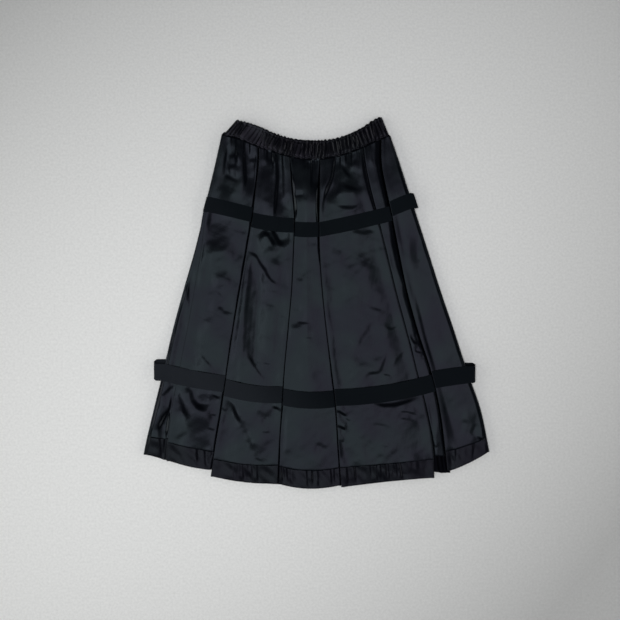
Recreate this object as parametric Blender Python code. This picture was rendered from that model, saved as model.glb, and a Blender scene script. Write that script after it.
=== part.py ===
"""Pleated skirt, laid flat on its back.

A flared satin skirt: a gathered elastic waistband, long gores with lapped pleat edges, a narrow
band along the hem, and two straps of woven tape that are caught in the seams.

X runs across the skirt, Y from the hem up to the waist, and Z up from the surface that it lies on.
Sizes are in millimetres, and become metres where a mesh is made. The origin is the middle of the
skirt's outline, on that surface.
"""

import math
from collections import namedtuple

import bmesh
import bpy
import numpy as np

MM = 0.001

# Thickness of each cloth, as a wall
SATIN = 1.2
PLEAT_EDGE = 2.6  # a pressed pleat edge is two plies of satin
TAPE = 1.3
BAND = 2.2  # waistband: satin over elastic

# Gaps between the pieces
SEAM_GAP = 0.3
WAIST_GAP = 0.8
LAP_GAP = 0.7
TAPE_GAP = 0.5

# A pleat edge: how far the panel under it runs on, and how wide its pressed ply is
LAP_DEPTH = 13.0
PLY_WIDTH = 9.0
PLY_FADE = 3.0  # over this width the two plies thin down to one
GROOVE = 5.0  # width of the dip beside a pleat edge
LAP_STEP = SATIN + LAP_GAP  # height of a pleat edge over the panel under it
HELD_FADE = 14.0  # how far from a pleat edge the cloth is free to fold by itself

# The air between front and back
SIDE_LOFT = 2.4
MIDDLE_LOFT = 0.9
GATHER_LOFT = 3.4  # lift of the gathered cloth at the waist seam
GATHER_DROP = 170.0  # how far below the waist that lift dies away
PUFF_RAMP = 34.0  # how far in from a pleat edge a gore's own puff is full
SIDE_PUFF_RAMP = 16.0
FOLD_WIDTH = 4.5  # how far in from the outline a side fold starts
FOLD_ANGLES = (90, 45, 0, -45, -90)

# Waistband
BAND_BORE = 2.6  # gap between its front and back walls
GATHERS = 52
GATHER_DEPTH = 1.3
GATHER_STEPS = ((0.0, 0.0), (0.34, 1.0), (0.66, 0.8))  # one gather: share of its width, and its rise
BAND_ANGLES = (90, 40, 0, -40, -90)
BAND_BACK_COLUMNS = 26
BAND_BACK_DIP = 2.0  # how much lower the back's top edge is in the middle

# The back cloth clears a strap under it by this much, and then slopes down to the surface
STRAP_MARGIN = 4.0
STRAP_RAMP = 14.0
FRONT_RAMP = 75.0

# Where the pleat lines cross each height. Rows run from the waist to the hem.
LINE_COLUMNS = ("y", "left", "a", "b", "c", "d", "e", "f", "right")
LINES = (
    (369, -206, -201, -126, -62, 10, 98, 142, 161),
    (302, -221, -216, -127, -58, 8, 106, 143, 184),
    (248, -234, -229, -133, -54, 7, 117, 153, 201),
    (193, -248, -243, -140, -49, 6, 132, 165, 219),
    (116, -267, -253, -153, -51, 7, 152, 180, 244),
    (28, -292, -268, -168, -55, 13, 173, 198, 272),
    (-61, -316, -284, -183, -63, 22, 197, 222, 302),
    (-148, -336, -301, -196, -71, 33, 219, 250, 330),
    (-237, -358, -318, -209, -77, 43, 241, 271, 361),
    (-314, -376, -327, -222, -82, 48, 255, 281, 377),
    (-402, -392, -330, -235, -86, 54, 259, 291, 393),
)

# Top edge of the waistband, and the seam between it and the gores
WAIST_TOP = (
    (-177, 400), (-160, 397), (-123, 385), (-96, 373), (-59, 361), (-14, 356),
    (36, 359), (74, 371), (100, 384), (126, 401), (144, 409.5),
)
WAIST_SEAM = (
    (-205, 369), (-168, 359), (-131, 344), (-76, 326), (-42, 318), (-8, 315),
    (26, 318), (60, 326), (96, 339), (131, 355), (161, 367),
)

# The front panels that lie flat. "over" is a pleat edge that lies on its neighbour and "under" runs
# on beneath one. Seam and edge are heights at the left, middle and right of the hem band.
Panel = namedtuple("Panel", "name line_1 line_2 side_1 side_2 columns puff seam edge")
PANELS = (
    Panel("front_gore_1", "a", "b", "over", "under", 5, 1.6, (-308, -319, -327), (-348, -360, -367)),
    Panel("front_gore_2", "b", "c", "over", "over", 7, 2.4, (-344, -355, -357), (-382, -394, -398)),
    Panel("front_gore_3", "c", "d", "under", "under", 7, 2.4, (-360, -368, -363), (-399, -408, -402)),
    Panel("front_gore_4", "d", "e", "over", "over", 11, 2.6, (-362, -354, -344), (-405, -393, -385)),
    Panel("pleat_underlay", "e", "f", "under", "under", 1, 1.0, (-336, -336, -336), (-372, -374, -374)),
)

# The side gores wrap round to the back, as far as BACK_REACH from the outline
Side = namedtuple("Side", "name line outline side columns puff seam edge")
SIDES = (
    Side("side_gore_left", "a", "left", "under", 2, 2.2, (-299, -297, -294), (-346, -338, -334)),
    Side("side_gore_right", "f", "right", "over", 4, 1.2, (-326, -313, -298), (-369, -351, -328)),
)
BACK_REACH = 38.0

# The back is two gores over one stretch of hem band, lower in the middle than at the sides
BACK_GORES = 2
BACK_COLUMNS = 9  # in each gore
BACK_SEAM_SAG = 52.0
BACK_EDGE_SAG = 60.0

# Large folds: a line from (x1, y1) to (x2, y2), its half width, and its height, below 0 for a valley
Fold = namedtuple("Fold", "x1 y1 x2 y2 width height")
FOLDS = (
    Fold(-192, 358, -206, 287, 9, -2.4),
    Fold(-206, 283, -178, 265, 9, -2.2),
    Fold(-177, 335, -174, 270, 10, 2.6),
    Fold(-157, 342, -155, 236, 9, -3.6),
    Fold(-138, 338, -134, 247, 8, 2.6),
    Fold(-109, 336, -102, 291, 9, -2.6),
    Fold(-82, 331, -80, 287, 9, -3.4),
    Fold(-80, 287, -94, 199, 9, -3.4),
    Fold(-94, 199, -86, 140, 9, -2.6),
    Fold(-69, 313, -58, 190, 8, 2.8),
    Fold(-4, 305, 1, 193, 9, -3.4),
    Fold(21, 312, 14, 243, 8, 3.0),
    Fold(38, 316, 20, 234, 9, -3.6),
    Fold(64, 328, 66, 300, 9, -2.2),
    Fold(54, 303, 76, 268, 9, -2.4),
    Fold(58, 254, 107, 252, 10, -2.8),
    Fold(45, 206, 85, 210, 9, -2.4),
    Fold(88, 330, 84, 290, 9, 2.6),
    Fold(-151, 111, -98, 39, 9, 2.4),
    Fold(-160, 60, -128, -110, 20, -1.6),
    Fold(63, 89, 122, 67, 12, -2.0),
    Fold(76, -105, 135, -41, 10, -1.8),
    Fold(-188, -228, -128, -335, 10, 2.4),
    Fold(-288, -192, -268, -236, 9, 3.0),
    Fold(-268, -236, -224, -270, 9, 3.0),
    Fold(281, -230, 292, -302, 9, -1.8),
    Fold(-40, -10, -14, -44, 10, -1.6),
)

# Heights across a gore, as shares of the way from the waist seam to the hem seam
GORE_ROWS = (0, 0.02, 0.05, 0.09, 0.14, 0.20, 0.26, 0.32, 0.39, 0.46, 0.54, 0.62, 0.70, 0.78, 0.86, 0.93, 1)
HEM_ROWS = (0, 0.5, 1)
# On the back and sides the rows follow the straps: shares of the ways from waist to strap to strap
# to hem, with four more rows at each strap where the cloth rises over it.
WAIST_TO_STRAP = (0, 0.2, 0.5)
STRAP_TO_STRAP = (0.2, 0.4, 0.6, 0.8)
STRAP_TO_HEM = (0.5, 1)

# The middle of each stretch of strap: its heights at its start, middle and end, and its slack over
# the cloth. The stretches are caught at the pleat lines.
Stretch = namedtuple("Stretch", "start end y_start y_middle y_end slack")
STRAPS = {
    "upper": (
        Stretch("left", "b", 215, 204, 192, 1.2),
        Stretch("b", "c", 181, 172, 169, 2.6),
        Stretch("c", "d", 161, 159, 160, 3.0),
        Stretch("d", "f", 160, 176, 195, 2.8),
        Stretch("f", "right", 205, 214, 222, 1.6),
    ),
    "lower": (
        Stretch("left", "b", -153, -168, -178, 2.2),
        Stretch("b", "c", -186, -199, -202, 3.0),
        Stretch("c", "d", -207, -214, -211, 2.6),
        Stretch("d", "f", -208, -199, -176, 3.2),
        Stretch("f", "right", -169, -163, -158, 2.0),
    ),
}
STRAP_WIDTH = {"upper": 31.0, "lower": 36.0}
STRAP_TILT = 0.9  # the upper edge lies looser than the lower one, by this share of the slack
STRAP_STATIONS = 7
END_STATIONS = 9  # on the stretches that take in a side
BACK_STATIONS = 9
CAUGHT_INSET = 1.0  # how far inside a pleat line a strap's end is caught
LOOP_ANGLES = (85, 55, 25, -10, -50, -90)
TAPE_REACH = 9.0  # the stiff tape bridges hollows this far to each side of a point,
CAUGHT_REACH = 3.0  # but only this far where it is caught in a seam,
TAPE_REACH_Y = 5.0  # and this far up and down
# How far each strap's fold stands off the outline, and how much higher its middle is there
SIDE_LOOPS = {
    ("upper", "left"): (3.0, 1.0),
    ("upper", "right"): (9.0, 3.0),
    ("lower", "left"): (19.5, 10.0),
    ("lower", "right"): (15.0, 3.0),
}
BACK_STRAP_HEIGHTS = {"upper": (218, 192, 226), "lower": (-141, -168, -148)}

# Finishes: base colour, roughness and metallic value
SATIN_FINISH = ((0.026, 0.030, 0.036, 1), 0.34, 0.0)
HEM_FINISH = ((0.020, 0.020, 0.027, 1), 0.5, 0.0)
BAND_FINISH = ((0.016, 0.016, 0.020, 1), 0.5, 0.0)
TAPE_FINISH = ((0.008, 0.010, 0.013, 1), 0.8, 0.0)


def lerp(start, end, share):
    return start + (end - start) * share


def smoothstep(value):
    value = min(max(value, 0.0), 1.0)
    return value * value * (3 - 2 * value)


def soft_floor(value, softness=0.9):
    """The value where it is well above 0, easing to 0 below."""
    return 0.5 * (value + math.sqrt(value * value + softness * softness))


class Curve:
    """A smooth curve through (x, y) points in order of x, straight past its ends."""

    def __init__(self, points):
        points = sorted(points)
        self.xs = np.array([float(x) for x, _ in points])
        self.ys = np.array([float(y) for _, y in points])
        self.slopes = np.gradient(self.ys, self.xs)

    def __call__(self, x):
        if x <= self.xs[0]:
            return float(self.ys[0] + self.slopes[0] * (x - self.xs[0]))
        if x >= self.xs[-1]:
            return float(self.ys[-1] + self.slopes[-1] * (x - self.xs[-1]))
        i = int(np.searchsorted(self.xs, x)) - 1
        width = self.xs[i + 1] - self.xs[i]
        t = (x - self.xs[i]) / width
        start = (2 * t**3 - 3 * t**2 + 1) * self.ys[i] + (t**3 - 2 * t**2 + t) * width * self.slopes[i]
        end = (3 * t**2 - 2 * t**3) * self.ys[i + 1] + (t**3 - t**2) * width * self.slopes[i + 1]
        return float(start + end)


def three_point(values, share):
    """The parabola through three values at 0, 0.5 and 1."""
    first, middle, last = values
    share = min(max(share, 0.0), 1.0)
    return first + share * (4 * middle - 3 * first - last) + share * share * 2 * (first + last - 2 * middle)


LINE = {
    name: Curve([(row[0], row[i]) for row in LINES])
    for i, name in enumerate(LINE_COLUMNS)
    if name != "y"
}
WAIST_TOP_CURVE = Curve(WAIST_TOP)
WAIST_SEAM_CURVE = Curve(WAIST_SEAM)


def back_strap_y(which, x, y):
    """Height of a strap's middle where it runs across the back."""
    left = LINE["left"](y)
    right = LINE["right"](y)
    return three_point(BACK_STRAP_HEIGHTS[which], (x - left) / (right - left))


def back_lift(x, y, ramp=STRAP_RAMP):
    """How far the back cloth is lifted off the surface by the straps under it."""
    lift = 0.0
    for which, width in STRAP_WIDTH.items():
        clear = abs(y - back_strap_y(which, x, y)) - 0.5 * width
        lift = max(lift, 1 - smoothstep((clear - STRAP_MARGIN) / ramp))
    return lift * (TAPE + LAP_GAP)


def fold_height(x, y):
    """Height of the gathers and large folds over the smooth front."""
    below_waist = WAIST_SEAM_CURVE(min(max(x, -205), 161)) - y
    height = GATHER_LOFT * (1 - smoothstep(below_waist / GATHER_DROP))
    for x1, y1, x2, y2, width, size in FOLDS:
        along_x = x2 - x1
        along_y = y2 - y1
        length_2 = along_x**2 + along_y**2
        t = ((x - x1) * along_x + (y - y1) * along_y) / length_2
        t = min(max(t, 0.0), 1.0)
        miss_2 = (x - x1 - t * along_x) ** 2 + (y - y1 - t * along_y) ** 2
        if miss_2 < 9 * width**2:
            height += size * math.exp(-miss_2 / width**2)
    return soft_floor(height + 0.4)


def front_floor(x, y, fold_x):
    """The lowest that the front cloth lies: on the back, with a little air. Near a pleat line
    fold_x is the line's, so that all the plies there rise and fall together."""
    left = LINE["left"](y)
    right = LINE["right"](y)
    share = min(max((x - left) / (right - left), 0.0), 1.0)
    middle = 1 - (2 * share - 1) ** 6
    loft = lerp(SIDE_LOFT, MIDDLE_LOFT, middle)
    return SATIN + back_lift(x, y, FRONT_RAMP) + loft + fold_height(fold_x, y)


def pull_to_line(side, distance):
    """1 where the cloth follows the pleat line's own rise and fall, 0 where it is free."""
    held = LAP_DEPTH if side == "over" else 0.0
    return 1 - smoothstep((distance - held) / HELD_FADE)


def edge_level(side, distance):
    """Height over the floor at a distance inside a pleat line, before the puff."""
    if side == "under":
        return LAP_STEP * smoothstep((distance + 1.0) / (GROOVE + 1.0))
    return LAP_STEP


def edge_thickness(side, distance):
    """Wall there: a pressed pleat edge is two plies thick."""
    if side == "over":
        return lerp(PLEAT_EDGE, SATIN, smoothstep((distance - PLY_WIDTH) / PLY_FADE))
    return SATIN


def edge_round(side, distance):
    """How far a pleat edge's top and bottom close in at its very fold."""
    if side == "over" and distance < 1.0:
        return 0.36 * PLEAT_EDGE * (1 - distance)
    return 0.0


def edge_offsets(side):
    """Distances of the columns beside a pleat line, outermost first."""
    if side == "over":
        return (0.0, 1.0, PLY_WIDTH, PLY_WIDTH + PLY_FADE + 0.5)
    return (-LAP_DEPTH, -GROOVE, -1.0, GROOVE + 0.5)


def panel_wall(panel, x, y):
    """Top and bottom heights of a flat-lying panel at a point."""
    x_1 = LINE[panel.line_1](y)
    x_2 = LINE[panel.line_2](y)
    inside_1 = x - x_1
    inside_2 = x_2 - x
    pull_1 = pull_to_line(panel.side_1, inside_1) * (x_1 - x)
    pull_2 = pull_to_line(panel.side_2, inside_2) * (x_2 - x)
    level = min(edge_level(panel.side_1, inside_1), edge_level(panel.side_2, inside_2))
    thickness = max(edge_thickness(panel.side_1, inside_1), edge_thickness(panel.side_2, inside_2))
    closing = max(edge_round(panel.side_1, inside_1), edge_round(panel.side_2, inside_2))
    rise = panel.puff * smoothstep((min(inside_1, inside_2) - PLY_WIDTH) / PUFF_RAMP)
    bottom = front_floor(x, y, x + pull_1 + pull_2) + level + rise
    return bottom + thickness - closing, bottom + closing


def side_wall(side, x, y):
    """Top and bottom heights of a side gore's front leaf at a point."""
    x_line = LINE[side.line](y)
    turn = turn_inwards(side.outline)
    inside = turn * (x_line - x)
    to_fold = turn * (x - LINE[side.outline](y)) - FOLD_WIDTH
    pull = pull_to_line(side.side, inside) * (x_line - x)
    level = LAP_STEP if side.side == "over" else 0.0
    rise = side.puff * smoothstep((inside - PLY_WIDTH) / SIDE_PUFF_RAMP)
    rise *= smoothstep(to_fold / SIDE_PUFF_RAMP)
    closing = edge_round(side.side, inside)
    bottom = front_floor(x, y, x + pull) + level + rise
    return bottom + edge_thickness(side.side, inside) - closing, bottom + closing


def turn_inwards(outline):
    """Direction along X from an outline towards the middle of the skirt."""
    return 1 if outline == "left" else -1


def waist_point(line_1, line_2, share, offset):
    """Where a column meets the waist seam."""
    y = 340.0
    for _ in range(6):
        x = lerp(LINE[line_1](y), LINE[line_2](y), share) + offset
        y = WAIST_SEAM_CURVE(x)
    return y - WAIST_GAP


def column_ys(piece, line_1, line_2, share, offset, part):
    """The heights of one column's points, in a gore or in its hem band."""
    seam_y = three_point(piece.seam, share)
    if part == "gore":
        top = waist_point(line_1, line_2, share, offset)
        return [lerp(top, seam_y, v) for v in GORE_ROWS]
    edge_y = three_point(piece.edge, share)
    return [lerp(seam_y - SEAM_GAP, edge_y, v) for v in HEM_ROWS]


def panel_columns(panel):
    """(share, offset) of each column across a panel."""
    offsets_1 = edge_offsets(panel.side_1)
    offsets_2 = edge_offsets(panel.side_2)
    columns = [(0.0, offset) for offset in offsets_1]
    for i in range(1, panel.columns + 1):
        share = i / (panel.columns + 1)
        columns.append((share, lerp(offsets_1[-1], -offsets_2[-1], share)))
    columns += [(1.0, -offset) for offset in reversed(offsets_2)]
    return columns


def add_part(name, part, outer, inner):
    """The wall of a gore, or of the hem band below it."""
    if part == "gore":
        add_wall(name, outer, inner, SATIN_FINISH)
    else:
        add_wall(f"{name}_hem", outer, inner, HEM_FINISH)


def build_panel(panel, part):
    """A flat-lying panel, or the stretch of hem band below it."""
    tops = []
    bottoms = []
    for share, offset in panel_columns(panel):
        top = []
        bottom = []
        for y in column_ys(panel, panel.line_1, panel.line_2, share, offset, part):
            x = lerp(LINE[panel.line_1](y), LINE[panel.line_2](y), share) + offset
            high, low = panel_wall(panel, x, y)
            top.append((x, y, high))
            bottom.append((x, y, low))
        tops.append(top)
        bottoms.append(bottom)
    add_part(panel.name, part, tops, bottoms)


def strap_rows(top, bottom, x_at):
    """Heights down a column on the back or round a side, where x_at gives its x at a height."""
    rises = []
    for which, width in STRAP_WIDTH.items():
        middle = BACK_STRAP_HEIGHTS[which][1]
        for _ in range(5):
            middle = back_strap_y(which, x_at(middle), middle)
        near = 0.5 * width + STRAP_MARGIN
        rises.append((middle + near + STRAP_RAMP, middle + near, middle - near, middle - near - STRAP_RAMP))
    upper, lower = rises
    ys = [lerp(top, upper[0], v) for v in WAIST_TO_STRAP]
    ys += upper
    ys += [lerp(upper[-1], lower[0], v) for v in STRAP_TO_STRAP]
    ys += lower
    return ys + [lerp(lower[-1], bottom, v) for v in STRAP_TO_HEM]


def back_leaf(x, y):
    """Outer and inner heights of the cloth on the back, which lies on the surface."""
    outer = back_lift(x, y)
    return outer, outer + SATIN


def side_fold(side, y):
    """A side gore's fold at the outline: its centre's x and z, and its outer radius."""
    turn = turn_inwards(side.outline)
    x_out = LINE[side.outline](y)
    fold_x = x_out + turn * FOLD_WIDTH
    top = side_wall(side, fold_x, y)[0]
    under = back_lift(fold_x, y)
    radius = 0.5 * (top - under)
    return x_out + turn * radius, under + radius, radius


def side_columns(side):
    """(kind, share, value) of each column of a side gore, from its pleat line round to the back."""
    turn = turn_inwards(side.outline)
    # The left gore is too narrow at the waist for a groove beside its pleat line
    offsets = edge_offsets("over") if side.side == "over" else (-LAP_DEPTH, -GROOVE, 0.0)
    columns = [("front", 0.0, -turn * offset) for offset in offsets]
    for i in range(1, side.columns + 1):
        share = i / (side.columns + 1)
        columns.append(("front", share, -turn * offsets[-1] * (1 - share)))
    columns += [("fold", 1.0, angle) for angle in FOLD_ANGLES]
    return columns + [("back", 1.0, reach) for reach in (0.5 * BACK_REACH, BACK_REACH)]


def side_points(side, kind, share, value, y):
    """Outer and inner point of a side gore at a height in one of its columns."""
    turn = turn_inwards(side.outline)
    centre_x, centre_z, radius = side_fold(side, y)
    if kind == "front":
        x = lerp(LINE[side.line](y), centre_x, share) + value
        high, low = side_wall(side, x, y)
        return (x, y, high), (x, y, low)
    if kind == "fold":
        angle = math.radians(value)
        return tuple(
            (centre_x - turn * r * math.cos(angle), y, centre_z + r * math.sin(angle))
            for r in (radius, radius - SATIN)
        )
    x = LINE[side.outline](y) + turn * value
    low, high = back_leaf(x, y)
    return (x, y, low), (x, y, high)


def build_side(side, part):
    """A side gore: its front leaf, the soft fold at the outline, and its back leaf."""
    turn = turn_inwards(side.outline)
    outers = []
    inners = []
    for kind, share, value in side_columns(side):
        offset = {"front": value, "fold": turn * FOLD_WIDTH, "back": turn * value}[kind]
        ys = column_ys(side, side.line, side.outline, share, offset, part)
        if part == "gore":
            line = LINE[side.line]
            outline = LINE[side.outline]
            ys = strap_rows(ys[0], ys[-1], lambda y: lerp(line(y), outline(y), share) + offset)
        points = [side_points(side, kind, share, value, y) for y in ys]
        outers.append([outer for outer, _ in points])
        inners.append([inner for _, inner in points])
    add_part(side.name, part, outers, inners)


def add_wall(name, outer, inner, finish, ring=False):
    """A closed wall between two grids of points, given as lists of columns."""
    mesh = bpy.data.meshes.new(name)
    bm = bmesh.new()
    grids = []
    for grid in (outer, inner):
        grids.append([[bm.verts.new([c * MM for c in point]) for point in column] for column in grid])
    columns = len(outer)
    rows = len(outer[0])
    across = range(columns if ring else columns - 1)
    for i in across:
        j = (i + 1) % columns
        for k in range(rows - 1):
            for side in grids:
                bm.faces.new((side[i][k], side[j][k], side[j][k + 1], side[i][k + 1]))
        for k in (0, rows - 1):
            bm.faces.new((grids[0][i][k], grids[0][j][k], grids[1][j][k], grids[1][i][k]))
    if not ring:
        for i in (0, columns - 1):
            for k in range(rows - 1):
                bm.faces.new((grids[0][i][k], grids[0][i][k + 1], grids[1][i][k + 1], grids[1][i][k]))
    bmesh.ops.recalc_face_normals(bm, faces=bm.faces)
    bm.to_mesh(mesh)
    bm.free()
    mesh.shade_smooth()
    mesh.set_sharp_from_angle(angle=math.radians(40))
    mesh.materials.append(make_finish(name, finish))
    bpy.context.scene.collection.objects.link(bpy.data.objects.new(name, mesh))


def make_finish(name, finish):
    colour, roughness, metallic = finish
    material = bpy.data.materials.new(name)
    material.use_nodes = True
    shader = material.node_tree.nodes["Principled BSDF"]
    shader.inputs["Base Color"].default_value = colour
    shader.inputs["Roughness"].default_value = roughness
    shader.inputs["Metallic"].default_value = metallic
    return material


def band_columns():
    """(kind, share, value) of each column round the waistband: gathers, right end, back, left end."""
    columns = []
    for i in range(GATHERS):
        wander = 0.10 * math.sin(2.1 * i) + 0.08 * math.sin(5.3 * i)
        for step, rise in GATHER_STEPS:
            columns.append(("front", (i + 0.1 + step * (1 + wander)) / GATHERS, rise))
    columns += [("right", 1.0, angle) for angle in BAND_ANGLES]
    for i in range(BAND_BACK_COLUMNS):
        columns.append(("back", 1 - (i + 0.5) / BAND_BACK_COLUMNS, 0.0))
    return columns + [("left", 0.0, angle) for angle in reversed(BAND_ANGLES)]


def band_points(kind, share, value, up):
    """Outer and inner point of the waistband, a share of the way up from its seam to its top edge."""
    height = 2 * BAND + BAND_BORE
    radius = 0.5 * height
    seam_left, seam_right = WAIST_SEAM[0][0] + radius, WAIST_SEAM[-1][0] - radius
    top_left, top_right = WAIST_TOP[0][0] + radius, WAIST_TOP[-1][0] - radius
    x = lerp(lerp(seam_left, top_left, up), lerp(seam_right, top_right, up), share)
    seam_y = WAIST_SEAM_CURVE(lerp(seam_left, seam_right, share))
    top_y = WAIST_TOP_CURVE(lerp(top_left, top_right, share))
    if kind == "back":
        top_y -= BAND_BACK_DIP * math.sin(math.pi * share)
        y = lerp(seam_y, top_y, up)
        return (x, y, 0.0), (x, y, BAND)
    y = lerp(seam_y, top_y, up)
    if kind == "front":
        gather = GATHER_DEPTH * value * (1 - 0.35 * up)
        return (x, y, height + gather), (x, y, height - BAND)
    turn = 1 if kind == "right" else -1
    angle = math.radians(value)
    return tuple(
        (x + turn * r * math.cos(angle), y, radius + r * math.sin(angle))
        for r in (radius, radius - BAND)
    )


def build_waistband():
    """The waistband: one loop, flattened, with gathers on its front."""
    outers = []
    inners = []
    for kind, share, value in band_columns():
        points = [band_points(kind, share, value, up) for up in (0.0, 0.5, 1.0)]
        outers.append([outer for outer, _ in points])
        inners.append([inner for _, inner in points])
    add_wall("waistband", outers, inners, BAND_FINISH, ring=True)


def back_x(share, y):
    """Across the back, between the side gores' back leaves."""
    left = LINE["left"](y) + BACK_REACH + SEAM_GAP
    right = LINE["right"](y) - BACK_REACH - SEAM_GAP
    return lerp(left, right, share)


def back_gore_x(number, share, y):
    """Across one back gore, from its left seam to its right one."""
    inset = 0.5 * SEAM_GAP
    first = back_x(number / BACK_GORES, y) + (inset if number > 0 else 0.0)
    last = back_x((number + 1) / BACK_GORES, y) - (inset if number + 1 < BACK_GORES else 0.0)
    return lerp(first, last, share)


def back_hem_ys(share):
    """Heights of the hem band's seam and edge across the back."""
    left, right = SIDES
    bow = 4 * share * (1 - share)
    seam_y = lerp(left.seam[-1], right.seam[-1], share) - BACK_SEAM_SAG * bow
    return seam_y, lerp(left.edge[-1], right.edge[-1], share) - BACK_EDGE_SAG * bow


def build_back_gore(number):
    """One back gore, flat on the surface but for the straps under it."""
    outers = []
    inners = []
    for i in range(BACK_COLUMNS):
        share = i / (BACK_COLUMNS - 1)
        whole = (number + share) / BACK_GORES
        y_top = WAIST_SEAM[0][1]
        for _ in range(6):
            y_top = WAIST_SEAM_CURVE(back_x(whole, y_top))
        seam_y = back_hem_ys(whole)[0]
        outer = []
        inner = []
        for y in strap_rows(y_top - WAIST_GAP, seam_y, lambda y: back_gore_x(number, share, y)):
            x = back_gore_x(number, share, y)
            low, high = back_leaf(x, y)
            outer.append((x, y, low))
            inner.append((x, y, high))
        outers.append(outer)
        inners.append(inner)
    add_wall(f"back_gore_{number + 1}", outers, inners, SATIN_FINISH)


def build_back_hem():
    """The hem band across the back."""
    count = BACK_GORES * BACK_COLUMNS
    outers = []
    inners = []
    for i in range(count):
        share = i / (count - 1)
        seam_y, edge_y = back_hem_ys(share)
        spots = [(back_x(share, y), y) for y in (seam_y - SEAM_GAP, edge_y)]
        outers.append([(x, y, 0.0) for x, y in spots])
        inners.append([(x, y, SATIN) for x, y in spots])
    add_wall("back_hem", outers, inners, HEM_FINISH)


def front_top(x, y, pieces):
    """Highest cloth at a point, of the given front panels and side gores."""
    highest = 0.0
    for piece in pieces:
        if isinstance(piece, Panel):
            if LINE[piece.line_1](y) <= x <= LINE[piece.line_2](y):
                highest = max(highest, panel_wall(piece, x, y)[0])
            continue
        turn = turn_inwards(piece.outline)
        x_out = LINE[piece.outline](y)
        if turn * (LINE[piece.line](y) - x) >= 0:
            inside = max(turn * (x - x_out), FOLD_WIDTH)
            highest = max(highest, side_wall(piece, x_out + turn * inside, y)[0])
    return highest


def tape_rest(x, y, pieces, reach):
    """Lowest underside of a stiff tape that bridges the hollows within its reach."""
    spots = []
    for across in (-1, -0.5, 0, 0.5, 1):
        for up in (-1, 0, 1):
            spots.append((x + across * reach, y + up * TAPE_REACH_Y))
    return max(front_top(spot_x, spot_y, pieces) for spot_x, spot_y in spots) + TAPE_GAP


def crossed_pieces(stretch):
    """The front panels and side gores that a stretch of strap crosses."""
    order = LINE_COLUMNS[1:]
    first = order.index(stretch.start)
    last = order.index(stretch.end)
    found = []
    for panel in PANELS:
        if first <= order.index(panel.line_1) and order.index(panel.line_2) <= last:
            found.append(panel)
    for side in SIDES:
        if side.outline in (stretch.start, stretch.end):
            found.append(side)
    return found


def stretch_loop(stretch):
    """The side that a stretch takes in, if any."""
    if stretch.start == "left":
        return "left"
    if stretch.end == "right":
        return "right"
    return None


def strap_front_point(which, stretch, pieces, share, up):
    """Underside of a strap over the front."""
    loop = stretch_loop(stretch)
    y = three_point((stretch.y_start, stretch.y_middle, stretch.y_end), share)
    y += (up - 0.5) * STRAP_WIDTH[which]
    x_start = LINE[stretch.start](y) + (FOLD_WIDTH if loop == "left" else CAUGHT_INSET)
    x_end = LINE[stretch.end](y) - (FOLD_WIDTH if loop == "right" else CAUGHT_INSET)
    x = lerp(x_start, x_end, share)
    free = TAPE_REACH
    if loop != "left":
        free = min(free, CAUGHT_REACH + x - x_start)
    if loop != "right":
        free = min(free, CAUGHT_REACH + x_end - x)
    rise = stretch.slack * math.sin(math.pi * share) ** 0.8 * (1 + STRAP_TILT * (2 * up - 1))
    return x, y, tape_rest(x, y, pieces, free) + rise


def strap_loop_points(which, loop, kind, value, up, start):
    """Outer and inner point of a side loop that starts at a point on the front strap's underside."""
    turn = turn_inwards(loop)
    stand_off, rise = SIDE_LOOPS[(which, loop)]
    _, y, low = start
    radius = 0.5 * (low + TAPE)
    centre_x = LINE[loop](y) + turn * (radius - stand_off)
    if kind == "fold":
        turned = (90 - value) / 180
        angle = math.radians(value)
        return tuple(
            (centre_x - turn * r * math.cos(angle), y + rise * turned, radius + r * math.sin(angle))
            for r in (radius, radius - TAPE)
        )
    settled = min(1.0, 1.6 * value / BACK_REACH)
    back_y = y
    for _ in range(4):
        x = LINE[loop](back_y) + turn * value
        level_y = back_strap_y(which, x, back_y) + (up - 0.5) * STRAP_WIDTH[which]
        back_y = lerp(y + rise, level_y, settled)
    return (x, back_y, 0.0), (x, back_y, TAPE)


def strap_columns(stretch):
    """(kind, value) of each column along a stretch of strap, left to right."""
    loop = stretch_loop(stretch)
    stations = END_STATIONS if stretch.end in ("f", "right") or loop else STRAP_STATIONS
    front = [("front", i / (stations - 1)) for i in range(stations)]
    turns = [("fold", angle) for angle in LOOP_ANGLES]
    turns += [("back", 0.5 * BACK_REACH), ("back", BACK_REACH)]
    if loop == "left":
        return turns[::-1] + front
    if loop == "right":
        return front + turns
    return front


def build_strap(which, number, stretch):
    """One stretch of strap over the front, and round the side where it takes one in."""
    loop = stretch_loop(stretch)
    pieces = crossed_pieces(stretch)
    outers = []
    inners = []
    for kind, value in strap_columns(stretch):
        outer = []
        inner = []
        for up in (0.0, 0.5, 1.0):
            if kind == "front":
                x, y, low = strap_front_point(which, stretch, pieces, value, up)
                outer.append((x, y, low + TAPE))
                inner.append((x, y, low))
            else:
                side_share = 0.0 if loop == "left" else 1.0
                start = strap_front_point(which, stretch, pieces, side_share, up)
                outside, inside = strap_loop_points(which, loop, kind, value, up, start)
                outer.append(outside)
                inner.append(inside)
        outers.append(outer)
        inners.append(inner)
    add_wall(f"{which}_strap_{number}", outers, inners, TAPE_FINISH)


def build_back_strap(which):
    """The stretch of strap across the back, on the surface and under the back gores."""
    outers = []
    inners = []
    for i in range(BACK_STATIONS):
        outer = []
        inner = []
        for up in (0.0, 1.0):
            y = BACK_STRAP_HEIGHTS[which][1]
            for _ in range(6):
                x = back_x(i / (BACK_STATIONS - 1), y)
                y = back_strap_y(which, x, y) + (up - 0.5) * STRAP_WIDTH[which]
            outer.append((x, y, 0.0))
            inner.append((x, y, TAPE))
        outers.append(outer)
        inners.append(inner)
    add_wall(f"{which}_strap_back", outers, inners, TAPE_FINISH)


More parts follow.
